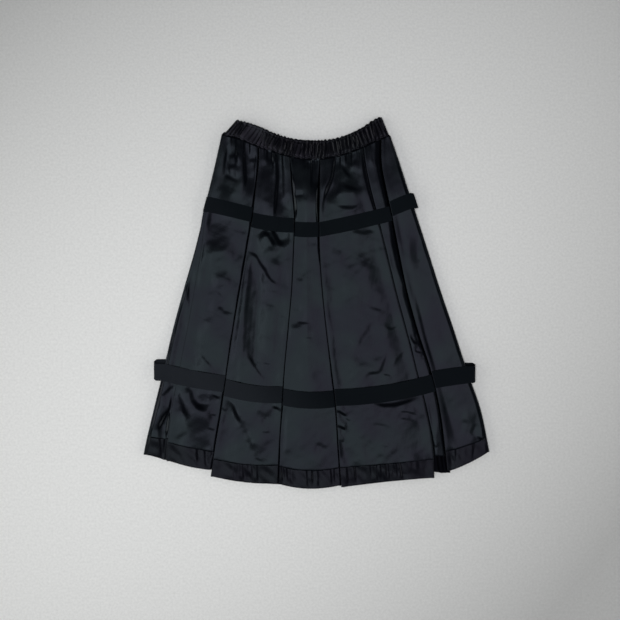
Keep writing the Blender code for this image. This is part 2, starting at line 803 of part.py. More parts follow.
def main():
    for thing in list(bpy.data.objects):
        bpy.data.objects.remove(thing, do_unlink=True)
    for part in ("gore", "hem"):
        for panel in PANELS:
            build_panel(panel, part)
        for side in SIDES:
            build_side(side, part)
    for number in range(BACK_GORES):
        build_back_gore(number)
    build_back_hem()
    build_waistband()
    for which, stretches in STRAPS.items():
        for number, stretch in enumerate(stretches, start=1):
            build_strap(which, number, stretch)
        build_back_strap(which)


main()
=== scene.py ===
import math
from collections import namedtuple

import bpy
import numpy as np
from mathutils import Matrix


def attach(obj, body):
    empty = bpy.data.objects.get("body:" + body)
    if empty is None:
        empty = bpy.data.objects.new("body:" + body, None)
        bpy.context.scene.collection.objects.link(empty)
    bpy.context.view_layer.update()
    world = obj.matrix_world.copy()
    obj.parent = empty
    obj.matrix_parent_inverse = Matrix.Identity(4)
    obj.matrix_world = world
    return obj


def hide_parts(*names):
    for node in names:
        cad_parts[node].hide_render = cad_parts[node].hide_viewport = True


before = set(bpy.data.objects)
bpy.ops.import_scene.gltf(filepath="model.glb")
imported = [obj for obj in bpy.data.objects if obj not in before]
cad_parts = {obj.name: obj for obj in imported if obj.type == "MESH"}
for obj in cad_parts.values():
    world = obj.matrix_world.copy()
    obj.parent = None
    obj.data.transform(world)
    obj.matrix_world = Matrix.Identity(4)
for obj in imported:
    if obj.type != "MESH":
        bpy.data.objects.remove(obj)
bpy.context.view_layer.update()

# The look of a flared satin skirt that lies flat on its back: thin satin gores with pressed pleat
# edges, a gathered waistband, a puckered hem band and two straps of woven tape.
#
# X runs across the skirt, Y from the hem up to the waist, and Z up. Sizes are in millimetres, as in
# the part's source, and become metres where a mesh is made.
#
# A name that ends in _RAMP holds where a smooth change from 0 to 1 starts, and how far it runs. One
# that ends in _WAVE holds an uneven wave along X: its length for each radian, and its sways, each a
# size, a length and a start. One that ends in _BEAT holds plain waves that multiply each other, each
# a length and a start.

MM = 0.001

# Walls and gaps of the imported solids, which the cloth here follows
SATIN = 1.2
PLEAT_EDGE = 2.6
TAPE = 1.3
BAND = 2.2
SEAM_GAP = 0.3
WAIST_GAP = 0.8
LAP_GAP = 0.7
TAPE_GAP = 0.5
LAP_DEPTH = 13.0  # how far a pleat edge lies over its neighbour
GROOVE = 5.0
GROOVE_OUT = 1.0  # how far outside a pleat line its groove starts
LAP_STEP = SATIN + LAP_GAP
HELD_FADE = 14.0  # how far the cloth takes to leave a pleat line's own rise and fall
SIDE_LOFT = 2.4
MIDDLE_LOFT = 0.9
LOFT_POWER = 6  # how flat the middle is, and how sudden the sides
GATHER_LOFT = 3.4  # extra under the waist seam, where the cloth is gathered
GATHER_DROP = 170.0
GATHER_EASE = 0.4
PUFF_RAMP = (9.0, 48.0)  # how a gore swells inside its pleat lines
SIDE_PUFF_RAMP = (9.0, 16.0)
SIDE_FOLD_RAMP = (-1.0, 6.0)
PLY_RAMP = (3.0, 22.0)  # where a pleat edge thins from two plies to one
FOLD_WIDTH = 4.5
BAND_BORE = 2.6  # the gap inside the waistband
BAND_BACK_DIP = 2.0
STRAP_RAMP = (4.0, 14.0)
FRONT_STRAP_RAMP = (4.0, 75.0)

# Where the pleat lines cross each height
LINE_COLUMNS = ("y", "left", "a", "b", "c", "d", "e", "f", "right")
LINES = (
    (369, -206, -201, -126, -62, 10, 98, 142, 161),
    (302, -221, -216, -127, -58, 8, 106, 143, 184),
    (248, -234, -229, -133, -54, 7, 117, 153, 201),
    (193, -248, -243, -140, -49, 6, 132, 165, 219),
    (116, -267, -253, -153, -51, 7, 152, 180, 244),
    (28, -292, -268, -168, -55, 13, 173, 198, 272),
    (-61, -316, -284, -183, -63, 22, 197, 222, 302),
    (-148, -336, -301, -196, -71, 33, 219, 250, 330),
    (-237, -358, -318, -209, -77, 43, 241, 271, 361),
    (-314, -376, -327, -222, -82, 48, 255, 281, 377),
    (-402, -392, -330, -235, -86, 54, 259, 291, 393),
)

# Top edge of the waistband, and the seam between it and the gores
WAIST_TOP = (
    (-177, 400), (-160, 397), (-123, 385), (-96, 373), (-59, 361), (-14, 356),
    (36, 359), (74, 371), (100, 384), (126, 401), (144, 409.5),
)
WAIST_SEAM = (
    (-205, 369), (-168, 359), (-131, 344), (-76, 326), (-42, 318), (-8, 315),
    (26, 318), (60, 326), (96, 339), (131, 355), (161, 367),
)

# The front panels. "over" is a pleat edge that lies on its neighbour and "under" runs on beneath one.
# Seam and edge are heights at the left, middle and right of the hem band.
Panel = namedtuple("Panel", "name line_1 line_2 side_1 side_2 puff seam edge")
PANELS = (
    Panel("front_gore_1", "a", "b", "over", "under", 1.6, (-308, -319, -327), (-348, -360, -367)),
    Panel("front_gore_2", "b", "c", "over", "over", 2.4, (-344, -355, -357), (-382, -394, -398)),
    Panel("front_gore_3", "c", "d", "under", "under", 2.4, (-360, -368, -363), (-399, -408, -402)),
    Panel("front_gore_4", "d", "e", "over", "over", 2.6, (-362, -354, -344), (-405, -393, -385)),
    Panel("pleat_underlay", "e", "f", "under", "under", 1.0, (-336, -336, -336), (-372, -374, -374)),
)
Side = namedtuple("Side", "name line outline side puff seam edge")
SIDES = (
    Side("side_gore_left", "a", "left", "under", 2.2, (-299, -297, -294), (-346, -338, -334)),
    Side("side_gore_right", "f", "right", "over", 1.2, (-326, -313, -298), (-369, -351, -328)),
)
BACK_REACH = 38.0  # how far the side gores reach round on the back
BACK_GORES = 2
BACK_SEAM_SAG = 52.0
BACK_EDGE_SAG = 60.0

# The middle of each stretch of strap: its heights at its start, middle and end, and its slack
Stretch = namedtuple("Stretch", "start end y_start y_middle y_end slack")
STRAPS = {
    "upper": (
        Stretch("left", "b", 215, 204, 192, 1.2),
        Stretch("b", "c", 181, 172, 169, 2.6),
        Stretch("c", "d", 161, 159, 160, 3.0),
        Stretch("d", "f", 160, 176, 195, 2.8),
        Stretch("f", "right", 205, 214, 222, 1.6),
    ),
    "lower": (
        Stretch("left", "b", -153, -168, -178, 2.2),
        Stretch("b", "c", -186, -199, -202, 3.0),
        Stretch("c", "d", -207, -214, -211, 2.6),
        Stretch("d", "f", -208, -199, -176, 3.2),
        Stretch("f", "right", -169, -163, -158, 2.0),
    ),
}
STRAP_WIDTH = {"upper": 31.0, "lower": 36.0}
STRAP_TILT = 0.9  # how much more slack a strap's upper edge has
CAUGHT_INSET = 1.2
LOOP_ANGLES = (85, 70, 55, 40, 25, 10, -10, -30, -50, -70, -90)
TAPE_REACH = 9.0  # the hollows that a tape bridges, less where it is caught
CAUGHT_REACH = 3.0
TAPE_REACH_Y = 5.0
# Loops at the sides: how far each stands off the outline, and how far it climbs on its way round
SIDE_LOOPS = {
    ("upper", "left"): (3.0, 1.0),
    ("upper", "right"): (9.0, 3.0),
    ("lower", "left"): (19.5, 10.0),
    ("lower", "right"): (15.0, 7.0),
}
BACK_STRAP_HEIGHTS = {"upper": (218, 192, 226), "lower": (-141, -168, -148)}

# Grid steps of the thin cloth
GORE_STEP = 1.6
GORE_ROWS = 400
HEM_STEP = 1.2
SIDE_BACK_STEP = 5.0
BACK_GORE_GRID = (60, 118)  # columns and rows
BACK_HEM_GRID = (130, 12)
PANEL_WIDE_Y = (-330, -380)  # where a panel's gore and its hem band are widest
SIDE_WIDE_Y = (-300, -330)
SETTLE_STEPS = 8  # rounds that settle where a sloping line meets another
FIRST_WAIST_Y = 340.0

# How the cloth turns at its edges
ROLL = 1.15  # radius of a pleat edge's fold
ROLL_ANGLES = (90, 60, 30, 0, -30, -60, -90)
LAP_STEPS = (8.0, 5.0, 2.4)  # columns under a pleat edge
EDGE_STEPS = (1.8, 2.6, 3.6, 4.8, 6.2)  # columns beside a pleat line
UNDER_STEPS = (-6.0, -3.0, -1.0, 0.0, 0.8, 1.8, 2.9, 4.0, 5.2, 6.4)
SIDE_FOLD_ANGLES = (75, 60, 45, 30, 15, 0, -15, -30, -45, -60, -75, -90)
HEM_ROLL = 0.8
HEM_TURNING = 12.0
HEM_TURNING_ROWS = (0.25, 0.6, 1.0)
BACK_TURNING_ROWS = (0.3, 0.7, 1.0)
HEM_GROOVE = (0.0, 0.4, 0.9, 1.6)  # rows of the groove along the hem band's seam
PANEL_GROOVE_DROPS = (-0.3, -0.12, -0.03, 0.0)
SIDE_GROOVE_DROPS = (-0.35, -0.18, -0.06, 0.0)
WAIST_ROWS = (5.0, 2.0)  # a gore's rows in under the waistband
BACK_WAIST_ROW = 4.0
BEHIND_HEM = 1.8  # a gore's last row, behind the hem band
SEAM_SLOPE = 2.6  # how the gore dips to the hem band's seam, and on behind it
SEAM_DIP = 0.2
BEHIND_DIP = 0.8
TUCK_HEIGHT = 6.1  # where the gores go in under the waistband
TUCK_RUN = 1.3
TUCK_KEPT = 0.22  # share of its rise and fall that a gore keeps there
TUCK_LEVEL = 6.0
SIDE_TUCK_FROM = 4.0  # the front of a side gore is above this
SIDE_TUCK_IN = 0.75

# Creases: half width, height (below 0 for a valley), and the points that it runs through
CREASES = {
    "front_gore_1": (
        (4.0, 1.2, (-182, 362), (-173, 330), (-170, 296)),
        (4.5, 1.2, (-128, 362), (-131, 310), (-136, 255)),
        (10.0, 0.8, (-300, -235), (-300, -310)),
        (12.0, 0.7, (-196, -60), (-206, -120)),
    ),
    "front_gore_2": (
        (4.5, 0.9, (-102, 345), (-95, 315), (-86, 296)),
        (8.0, 1.6, (-80, 342), (-70, 300), (-69, 250), (-72, 195)),
        (10.0, 0.7, (-96, -60), (-100, -130)),
    ),
    "front_gore_3": (
        (8.0, 0.6, (-72, -230), (-77, -300), (-80, -350)),
    ),
    "front_gore_4": (
        (4.0, 1.4, (12, 330), (12, 280), (14, 250), (12, 225)),
        (9.0, 0.7, (60, -232), (66, -300)),
    ),
}
# Ledges, where the cloth leans over a band: its half width, its slope, and the points that it runs
# through. The cloth rises to the left of the way along it, or falls there if the slope is below 0.
LEDGES = {
    "side_gore_left": (
        (7.0, -0.50, (-311, -206), (-320, -231), (-334, -251), (-344, -269), (-358, -290)),
        (6.0, -0.30, (-309, -176), (-328, -195), (-346, -211)),
        (5.0, -0.26, (-292, 10), (-306, -30), (-318, -80)),
        (5.0, 0.55, (-326, -286), (-330, -318), (-334, -350)),
    ),
    "front_gore_1": (
        (7.0, -0.30, (-192, 354), (-198, 325), (-201, 300), (-203, 272)),
        (6.0, -0.16, (-197, 316), (-180, 322), (-164, 328)),
        (6.0, -0.14, (-196, 296), (-172, 300)),
        (12.0, 0.15, (-206, 294), (-185, 283), (-160, 272)),
        (5.0, -0.14, (-206, 280), (-190, 272), (-170, 262)),
        (9.0, -0.50, (-157, 364), (-157, 310), (-155, 265), (-156, 230)),
        (10.0, 0.10, (-150, 326), (-128, 322)),
        (5.0, -0.12, (-150, 308), (-139, 312), (-130, 305)),
        (10.0, 0.12, (-192, 236), (-158, 228)),
        (3.5, 0.40, (-238, 178), (-251, 100), (-263, 16)),
        (7.2, -0.09, (-190, 160), (-170, 156), (-148, 148)),
        (5.8, -0.12, (-226, 34), (-212, 18), (-197, 3)),
        (7.2, -0.12, (-220, 0), (-206, -18), (-182, -37)),
        (5.1, -0.09, (-206, -19), (-178, -27)),
        (4.3, -0.08, (-208, -40), (-182, -46)),
        (5.5, -0.22, (-256, -108), (-242, -128), (-222, -149)),
        (6.0, -0.20, (-274, -116), (-266, -142)),
        (12.0, -0.44, (-294, -170), (-277, -194), (-271, -213), (-261, -227), (-247, -235), (-228, -239)),
        (10.0, 0.26, (-304, -184), (-298, -212), (-290, -238), (-276, -256)),
        (4.0, 0.26, (-230, -202), (-211, -211)),
        (3.0, 0.24, (-234, -244), (-219, -249)),
        (3.0, 0.24, (-240, -275), (-221, -281)),
    ),
    "front_gore_2": (
        (9.0, -0.22, (-113, 352), (-112, 325), (-105, 300)),
        (5.0, 0.10, (-99, 346), (-96, 322), (-90, 300)),
        (20.0, -0.06, (-128, 284), (-88, 280)),
        (18.0, -0.13, (-104, 300), (-108, 250), (-114, 190)),
        (9.0, -0.42, (-86, 352), (-84, 308), (-84, 270), (-88, 240), (-92, 204), (-91, 152)),
        (13.0, 0.12, (-70, 330), (-68, 260), (-66, 196)),
        (3.0, 0.42, (-131, 250), (-140, 160), (-159, 60), (-172, -20)),
        (11.0, -0.36, (-138, 118), (-144, 60), (-152, 0), (-160, -100), (-166, -186)),
        (11.0, -0.33, (-128, 104), (-133, 60), (-141, 0), (-149, -100), (-155, -186)),
        (10.0, -0.28, (-124, 84), (-126, 50), (-131, 0), (-139, -100), (-145, -186)),
        (9.0, -0.50, (-116, 162), (-101, 140), (-86, 116)),
        (9.0, -0.50, (-104, 168), (-88, 142), (-72, 116)),
        (6.0, -0.42, (-160, 112), (-144, 109), (-133, 102), (-124, 87), (-113, 71), (-104, 54),
         (-93, 43), (-76, 38)),
        (18.0, -0.07, (-120, 92), (-72, 88)),
        (5.8, -0.09, (-118, 31), (-80, 19)),
        (5.8, -0.08, (-120, -2), (-84, -10)),
        (4.3, -0.08, (-84, -30), (-60, -34)),
        (6.0, -0.26, (-154, -104), (-142, -128), (-128, -151), (-110, -176)),
        (4.0, -0.14, (-120, -131), (-98, -138)),
        (3.0, 0.34, (-205, -205), (-214, -250), (-222, -310)),
        (8.0, 0.32, (-196, -206), (-184, -229), (-176, -247), (-162, -270)),
        (15.0, 0.21, (-176, -240), (-158, -276), (-146, -305), (-130, -348)),
        (4.0, 0.30, (-212, -228), (-198, -240)),
        (4.5, 0.42, (-100, -228), (-86, -232), (-70, -242)),
        (10.0, 0.10, (-136, -240), (-100, -250)),
        (4.0, 0.14, (-120, -253), (-102, -260)),
        (3.5, 0.12, (-126, -284), (-98, -284)),
        (3.5, 0.14, (-136, -340), (-118, -348)),
    ),
    "front_gore_3": (
        (17.0, -0.24, (-15, 340), (-15, 280), (-11, 228)),
        (7.0, 0.15, (-52, 239), (-28, 241)),
        (5.0, -0.12, (-54, 230), (-24, 234)),
        (4.0, 0.20, (-24, 314), (-6, 302)),
        (14.0, 0.10, (-50, 206), (-14, 200)),
        (10.2, -0.07, (-26, 130), (6, 126)),
        (6.5, -0.08, (-49, 52), (-27, 48)),
        (6.5, -0.09, (-57, -15), (-33, -18)),
        (5.1, -0.15, (-50, -41), (-30, -45), (-8, -46)),
        (12.0, -0.115, (-64, -46), (-44, -52), (-24, -58)),
        (4.3, -0.09, (-30, -76), (-6, -79)),
        (7.0, 0.085, (-12, -150), (22, -153)),
        (7.0, 0.24, (-66, -226), (-72, -345)),
        (8.0, 0.13, (-6, -308), (12, -313), (26, -322)),
    ),
    "front_gore_4": (
        (8.0, -0.60, (42, 344), (38, 300), (32, 268), (22, 242), (13, 218)),
        (6.0, -0.40, (27, 268), (19, 240), (13, 212), (12, 184)),
        (6.0, -0.20, (64, 335), (66, 312), (70, 296)),
        (5.0, -0.16, (90, 345), (84, 318), (78, 302)),
        (6.0, -0.22, (50, 308), (62, 288), (80, 268)),
        (10.0, 0.10, (70, 296), (102, 282)),
        (9.0, -0.13, (50, 262), (72, 251), (92, 247), (112, 256)),
        (12.0, 0.13, (38, 234), (96, 232)),
        (5.0, -0.15, (38, 212), (60, 209), (80, 208), (96, 216)),
        (4.0, 0.20, (52, 194), (74, 198), (100, 206)),
        (7.2, 0.11, (92, 170), (116, 165), (140, 168)),
        (8.7, -0.14, (72, 156), (105, 153), (138, 158)),
        (2.6, 0.46, (11, 104), (15, 0), (26, -60), (34, -150), (46, -215)),
        (16.0, -0.07, (28, 116), (62, 112)),
        (7.2, -0.08, (92, 112), (112, 128), (130, 152)),
        (15.0, -0.10, (52, 84), (88, 84), (124, 92)),
        (9.0, -0.08, (130, 120), (160, 116)),
        (8.0, -0.11, (108, -6), (150, -22)),
        (4.3, -0.07, (74, 18), (98, 10)),
        (9.4, -0.15, (140, -32), (121, -46), (108, -64), (99, -78), (88, -100), (64, -107)),
        (5.8, -0.14, (144, -42), (164, -58), (178, -50), (190, -34)),
        (5.0, -0.22, (158, -100), (147, -130), (137, -152), (114, -157), (98, -172)),
        (4.5, -0.18, (204, -96), (184, -116), (164, -142)),
        (3.5, -0.18, (142, -156), (168, -162)),
        (6.5, 0.42, (112, -217), (150, -225), (185, -221), (208, -213), (230, -203)),
        (4.0, 0.26, (176, -240), (200, -240), (224, -248)),
        (5.0, -0.20, (176, -254), (200, -256), (226, -264)),
        (4.5, 0.62, (36, -235), (52, -241), (70, -252)),
        (4.5, 0.60, (38, -268), (52, -273), (66, -280)),
        (3.5, 0.24, (60, -252), (76, -262)),
        (3.0, 0.36, (42, -300), (62, -306)),
        (4.5, -0.50, (49, -290), (55, -350)),
        (6.0, 0.09, (112, -266), (168, -270)),
        (4.0, 0.10, (136, -312), (162, -318)),
    ),
    "pleat_underlay": (
        (3.5, -0.26, (121, 348), (121, 318), (126, 294)),
        (3.0, -0.22, (128, 345), (128, 315), (131, 296)),
        (3.0, 0.20, (146, 140), (156, 90), (166, 50)),
        (2.6, -0.16, (152, 134), (160, 96), (170, 56)),
        (6.0, -0.40, (202, -70), (212, -86), (226, -94)),
        (4.0, -0.34, (208, -102), (220, -108), (236, -112)),
        (4.3, -0.16, (214, -124), (242, -122)),
        (3.0, 0.20, (232, -200), (242, -250), (252, -300)),
        (2.6, -0.20, (240, -210), (249, -250), (258, -300)),
        (3.0, 0.34, (248, -310), (268, -318)),
    ),
    "side_gore_right": (
        (7.0, -0.17, (164, 200), (172, 160), (184, 120)),
        (8.7, 0.07, (196, 66), (218, 76), (242, 92)),
        (6.0, -0.24, (210, 40), (226, -30), (238, -80), (254, -140), (268, -200)),
        (9.0, -0.18, (262, -176), (268, -215), (280, -260), (290, -300), (297, -330)),
        (9.0, -0.16, (271, -186), (278, -218), (290, -262), (299, -300), (306, -330)),
        (9.0, 0.09, (314, -256), (346, -266)),
        (6.0, -0.16, (350, -262), (334, -292)),
        (6.0, 0.36, (346, -290), (362, -300), (380, -306)),
    ),
}
# Facets, where a wide patch of cloth leans as one: its middle, half its size and its slopes
FACETS = {
    "side_gore_left": (
        (-332, -244, 15, 44, 0.0, 0.10),
        (-290, 60, 10, 60, 0.0, -0.06),
    ),
    "front_gore_1": (
        (-182, 262, 36, 84, 0.0, -0.022),
        (-213, 140, 31, 54, 0.0, -0.11),
        (-208, 67, 18, 31, 0.0, -0.10),
        (-244, -210, 20, 14, 0.0, 0.085),
        (-256, -286, 25, 54, 0.0, 0.088),
        (-224, -30, 22, 30, 0.0, -0.06),
    ),
    "front_gore_2": (
        (-108, 262, 30, 84, 0.0, -0.036),
        (-112, -244, 22, 14, 0.0, 0.06),
    ),
    "front_gore_3": (
        (-28, 279, 44, 84, 0.0, -0.088),
    ),
    "front_gore_4": (
        (66, 280, 60, 84, 0.0, -0.034),
        (96, 106, 34, 18, 0.0, -0.025),
        (110, -130, 30, 20, 0.0, -0.06),
    ),
    "pleat_underlay": (
        (270, -300, 12, 40, -0.12, 0.0),
    ),
    "side_gore_right": (
        (172, 290, 34, 84, 0.0, -0.02),
        (212, 116, 15, 32, -0.12, 0.0),
        (284, -354, 15, 28, -0.5, 0.0),
        (338, -268, 14, 24, -0.05, 0.04),
    ),
}
BACK_CREASES = (
    (7.0, 1.6, (-150, 340), (-160, 240), (-176, 120)),
    (6.0, 1.8, (-60, 320), (-66, 220), (-60, 140)),
    (7.0, 1.6, (40, 320), (52, 210), (70, 130)),
    (6.0, 1.5, (110, 335), (124, 240), (150, 160)),
    (8.0, 1.6, (-250, 60), (-200, 20), (-170, -40)),
    (8.0, 1.8, (-60, 80), (-10, 40), (20, -30)),
    (7.0, 1.5, (120, 60), (180, 30), (214, -30)),
    (8.0, 1.6, (-220, -210), (-180, -260), (-160, -320)),
    (8.0, 1.8, (30, -220), (70, -270), (90, -340)),
    (6.0, 1.4, (220, -200), (250, -240), (300, -260)),
)
CREASE_HEIGHT = 0.75
PATH_STEPS = 28
PATH_TAPER = 0.34
CREASE_REACH = 3.2
CREASE_LEAST = 0.6  # share of its width that a crease has at its ends
CREASE_BLUNT = 0.09  # roundness of its top
CREASE_CREST = 0.16
CREASE_POWER = 0.75  # how soon it falls away
LEDGE_REACH = 5.0
LEDGE_RAMP = (2.0, 3.0)

# How the cloth falls to a pleat line: heights on it, each with the width of the fall, how far it
# sinks at the line, and how far it bulges at the fall's top
EDGE_FALLS = {
    ("front_gore_1", "b"): (
        (345, 7, 0.8, 0.6), (240, 6, 0.6, 0.5), (100, 5, 0.3, 0.3), (-400, 5, 0.1, 0.1),
    ),
    ("front_gore_3", "d"): (
        (325, 13, 2.2, 0.8), (290, 12, 2.2, 0.8), (245, 9, 1.8, 0.6), (200, 8, 1.4, 0.5),
        (120, 6, 0.8, 0.4), (80, 3, 0.1, 0.1), (-400, 3, 0.1, 0.1),
    ),
    ("front_gore_4", "e"): (
        (345, 9, 0.6, 2.0), (280, 9, 0.6, 2.0), (235, 7, 0.6, 1.5), (150, 4, 0.1, 0.3),
        (-400, 4, 0.1, 0.1),
    ),
    ("pleat_underlay", "f"): (
        (350, 13, 2.6, 1.2), (290, 14, 2.8, 1.2), (235, 13, 2.6, 1.2), (180, 12, 2.2, 1.0),
        (130, 16, 2.2, 1.6), (80, 15, 2.0, 1.4), (40, 9, 0.8, 0.7), (15, 13, 1.8, 1.0),
        (-40, 11, 1.3, 0.9), (-80, 14, 1.8, 1.2), (-120, 7, 0.5, 0.5), (-220, 8, 0.8, 0.6),
        (-400, 8, 1.0, 0.7),
    ),
}
BULGE_RUN = 3.5

# How wide the groove is where a panel runs on beneath a pleat edge: heights on the line, and widths
GROOVES = {
    ("front_gore_1", "b"): (
        (345, 3.5), (170, 4.5), (40, 3.6), (-60, 2.4), (-170, 2.4), (-220, 4.2), (-350, 5.0),
    ),
    ("front_gore_3", "c"): (
        (345, 4.5), (240, 3.2), (150, 1.6), (-170, 1.6), (-230, 4.0), (-290, 2.2), (-340, 4.5),
    ),
    ("front_gore_3", "d"): (
        (345, 5.0), (112, 4.5), (80, 1.1), (-100, 1.1), (-150, 2.6), (-240, 2.0), (-400, 2.8),
    ),
    ("pleat_underlay", "e"): (
        (345, 4.5), (230, 3.8), (150, 1.8), (-200, 1.8), (-260, 3.4), (-310, 5.0),
    ),
}

# How much of its creases the cloth keeps at a pleat line, and the least that it may sink to there
UNDER_FADE_RAMP = (0.5, 8.0)
OVER_FADE_RAMP = (2.0, 12.0)
OVER_KEPT = 0.45
OVER_REACH = 16.0
OVER_LEAST = (-0.7, -4.0)
FOLD_FADE_RAMP = (-2.0, 8.0)

# Small creases across the hem band: where they start at the seam, how far they drift, and depth
PUCKERS = (
    (-344, 3, 1.2), (-333, -2, 1.6), (-263, 2, 1.2), (-246, 3, 0.8), (-183, 2, 0.8), (-174, -1, 1.0),
    (-162, 2, 1.1), (-151, -2, 0.9), (-142, 1, 0.8), (-131, 2, 1.0), (-79, 5, 1.8), (-66, 3, 1.4),
    (-58, 1, 0.8), (-22, 3, 1.1), (-10, 1, 1.6), (2, 2, 0.9), (31, 3, 1.4), (38, 2, 1.2),
    (66, 3, 0.9), (83, 4, 1.4), (118, 2, 0.8), (131, 3, 0.8), (140, 2, 1.5), (150, 5, 1.9),
    (157, 4, 1.6), (164, 5, 1.2), (174, 4, 1.6), (182, 6, 1.7), (305, -3, 1.0), (344, -3, 0.9),
)
PUCKER_WIDTH = 4.4
PUCKER_WIDTHS = (0.8, 0.9, 1.0, 1.1)  # shares of that width, in turn
PUCKER_RUNS = (0.35, 0.5, 0.65)  # how far down they fade, in turn
PUCKER_SLOPE = 0.50
PUCKER_REACH = 4.0
HEM_BROAD = 0.3  # broad puckers in the upper part of the hem band
HEM_BROAD_WAVE = (3.1, (1.7, 17.0, 0.0))
HEM_BROAD_BEAT = ((29.0, 0.6),)
HEM_BROAD_TOP = 0.9
HEM_BROAD_RUN = 0.6
HEM_MOTTLE = 0.5  # bumps all over it
HEM_MOTTLE_RISE = 0.21
HEM_MOTTLE_WAVE = (7.0, (1.3, 23.0, 0.0))
HEM_MOTTLE_BEAT = ((13.0, 0.4),)
HEM_KEPT = 0.6  # share of a gore's creases that go on in its hem band
HEM_SWAY = 0.06  # how much the band leans up and down along the hem
HEM_SWAY_MIDDLE = -36.0
HEM_SWAY_LENGTHS = (32.0, 60.0)
HOLLOW_PITCH = 9.0  # folds of the underlay's hem
HOLLOW_HEIGHT = 4.6
HOLLOW_SINK = 1.3
HOLLOW_LEAN = 0.16
HOLLOW_PLACE = (250.0, -350.0)  # a point that a fold starts at
HOLLOW_LEFT_RAMP = (253.0, 4.0)
HOLLOW_TOP_RAMP = (332.0, 6.0)
HOLLOW_STEEP = 0.14

# Cloth that is never quite flat: wavelength, height and number of waves
RIPPLES = ((64.0, 0.26, 9), (24.0, 0.07, 11), (9.0, 0.012, 9))
RIPPLE_SEED = 11
RIPPLE_SPREAD = (0.7, 1.4)  # shares of the wavelength
RIPPLE_PHASE = 6.3
RIPPLE_SHARE = {"side_gore_right": 0.45, "front_gore_3": 0.7, "pleat_underlay": 0.6}
CALM_RAMP = (190.0, 60.0)  # the ripples are lower near the waist
CALM_SHARE = 0.45
WAIST_GATHER = 1.5  # height of the small gathers below the waist seam
WAIST_GATHER_RUN = 19.0
WAIST_GATHER_SPREAD = (0.7, 1.3)  # shares of that run
WAIST_SIZE_BEAT = ((7.3, 0.7), (19.0, 0.0))
WAIST_FINE = 0.45
WAIST_FINE_WAVE = (1.35, (1.5, 9.0, 0.0), (1.1, 23.0, 1.0))
WAIST_BROAD = 0.7
WAIST_BROAD_WAVE = (3.9, (1.2, 15.0, 0.0))
WAIST_BROAD_RUN = 2.2
WAIST_FALL = 0.9  # how far the cloth falls to the seam
WAIST_FALL_RUN = 26.0

# The back, on the surface
BACK_CLEAR = 0.15
BACK_RIPPLE = 1.6
BACK_RIPPLE_PLACE = ((0.9, 300), (0.6, -200))  # scale and shift of X and of Y
BACK_WRINKLE_TOP = 2.2
BACK_EDGE_RAMP = (6.0, 20.0)
BACK_SEAM_SPLIT = 0.5  # how far each gore stops short of the centre back
BACK_SEAM_RIDGE = 0.9
BACK_SEAM_WIDTH = 0.01  # as a share of the way across
BACK_WAIST_RAMP = (-3.0, 6.0)
BACK_WAIST_RISE = 1.2
BACK_HEM_GROOVE = ((0.0, -0.7), (1.5, -0.1))
BACK_HEM_START = 2.0
BACK_HEM_KEPT = 0.4

# Tapes
TAPE_HALF = 0.5  # half the thickness that shows, inside the solid's
TAPE_EDGE_ANGLES = (60, 30, 0, -30, -60)
TAPE_ROWS = 15
TAPE_STEP = 2.4
TAPE_COLUMNS = 24  # the fewest
TAPE_SMOOTH = 7  # points that are averaged along it
BACK_TAPE_GRID = (60, 7)
SLACK_POWER = 0.8
LOOP_BACK_SHARES = (0.25, 0.4375, 0.625, 0.8125, 1.0)
LOOP_SETTLE = 1.6  # how soon a loop falls in with the back strap
LOOP_SETTLE_STEPS = 4

# Waistband
BAND_STEP = 0.62
BAND_LENGTH = 350
BAND_ROWS = 30
BAND_BACK_COLUMNS = 150
BAND_END_ANGLES = (75, 60, 45, 30, 15, 0, -15, -30, -45, -60, -75)
BAND_ROLL_ANGLES = (60, 30, 0, -30, -60, -90)
BAND_INNER_ROWS = (0.8, 0.5, 0.25, 0.08)
BAND_GATHER = 2.4
BAND_PITCH = 9.0
BAND_GATHER_WAVE = (BAND_PITCH / (2 * math.pi), (1.5, 11.0, 0.0), (1.2, 29.0, 2.0))
BAND_TWIST = 2.6  # how much the gathers wander on their way up
BAND_SKEW = 0.45  # how much steeper the gathers are on one side
BAND_SLOW = 0.2  # slower gathers on top of them
BAND_SLOW_PACE = 0.43
BAND_SLOW_TWIST = 2.0
BAND_SIZE = 0.85  # how much their height changes along the band
BAND_SIZE_CHANGE = 0.4
BAND_SIZE_PITCH = 8.7
BAND_SIZE_TWIST = 1.4
BAND_SIZE_BEAT = ((21.0, 1.0),)
BAND_LOW_SIZE = 0.6  # how much lower they are at the seam and at the top
BAND_LOW_RUN = 0.5
BAND_HIGH_LESS = 0.4
BAND_HIGH_RAMP = (0.74, 0.26)
BAND_BACK_GATHER = 0.4
BAND_BACK_RISE = 0.2
BAND_LEAN = (1.4, -0.4)  # how it leans to the waist seam, left of its plain part and right of it
BAND_LEAN_RUN = 30.0
BAND_LEAN_TOP = 1.5
BAND_LEAN_CHANGE = 0.25
BAND_LEAN_BEAT = ((13.0, 0.0), (31.0, 1.0))
BAND_RISE = 1.0  # how far it stands up along the waist seam
BAND_RISE_RUN = 0.8
BAND_SCALLOP = 1.3  # how much its top edge goes in and out, and its lower edge at the seam
BAND_SCALLOP_WAVE = (9.3 / (2 * math.pi), (1.4, 14.0, 0.0))
BAND_SCALLOP_FINE = (0.5, 2.3, 0.0)
BAND_SCALLOP_SIZE = 0.6
BAND_SCALLOP_CHANGE = (0.4, 19.0, 0.0)
BAND_SEAM_SCALLOP = 1.1
BAND_SEAM_WAVE = (10.7 / (2 * math.pi), (1.2, 17.0, 0.0))
BAND_SEAM_FINE_WAVE = (4.3, (1.5, 12.0, 0.0))
BAND_SEAM_DIP = 0.4
BAND_FLAT = (-165.0, -134.0)  # no gathers here
BAND_FLAT_RUN = 3.0
BAND_FLATTENED = 0.85
BAND_CASINGS = (0.10, 0.86)  # sewn lines across the gathers, as shares of the way up
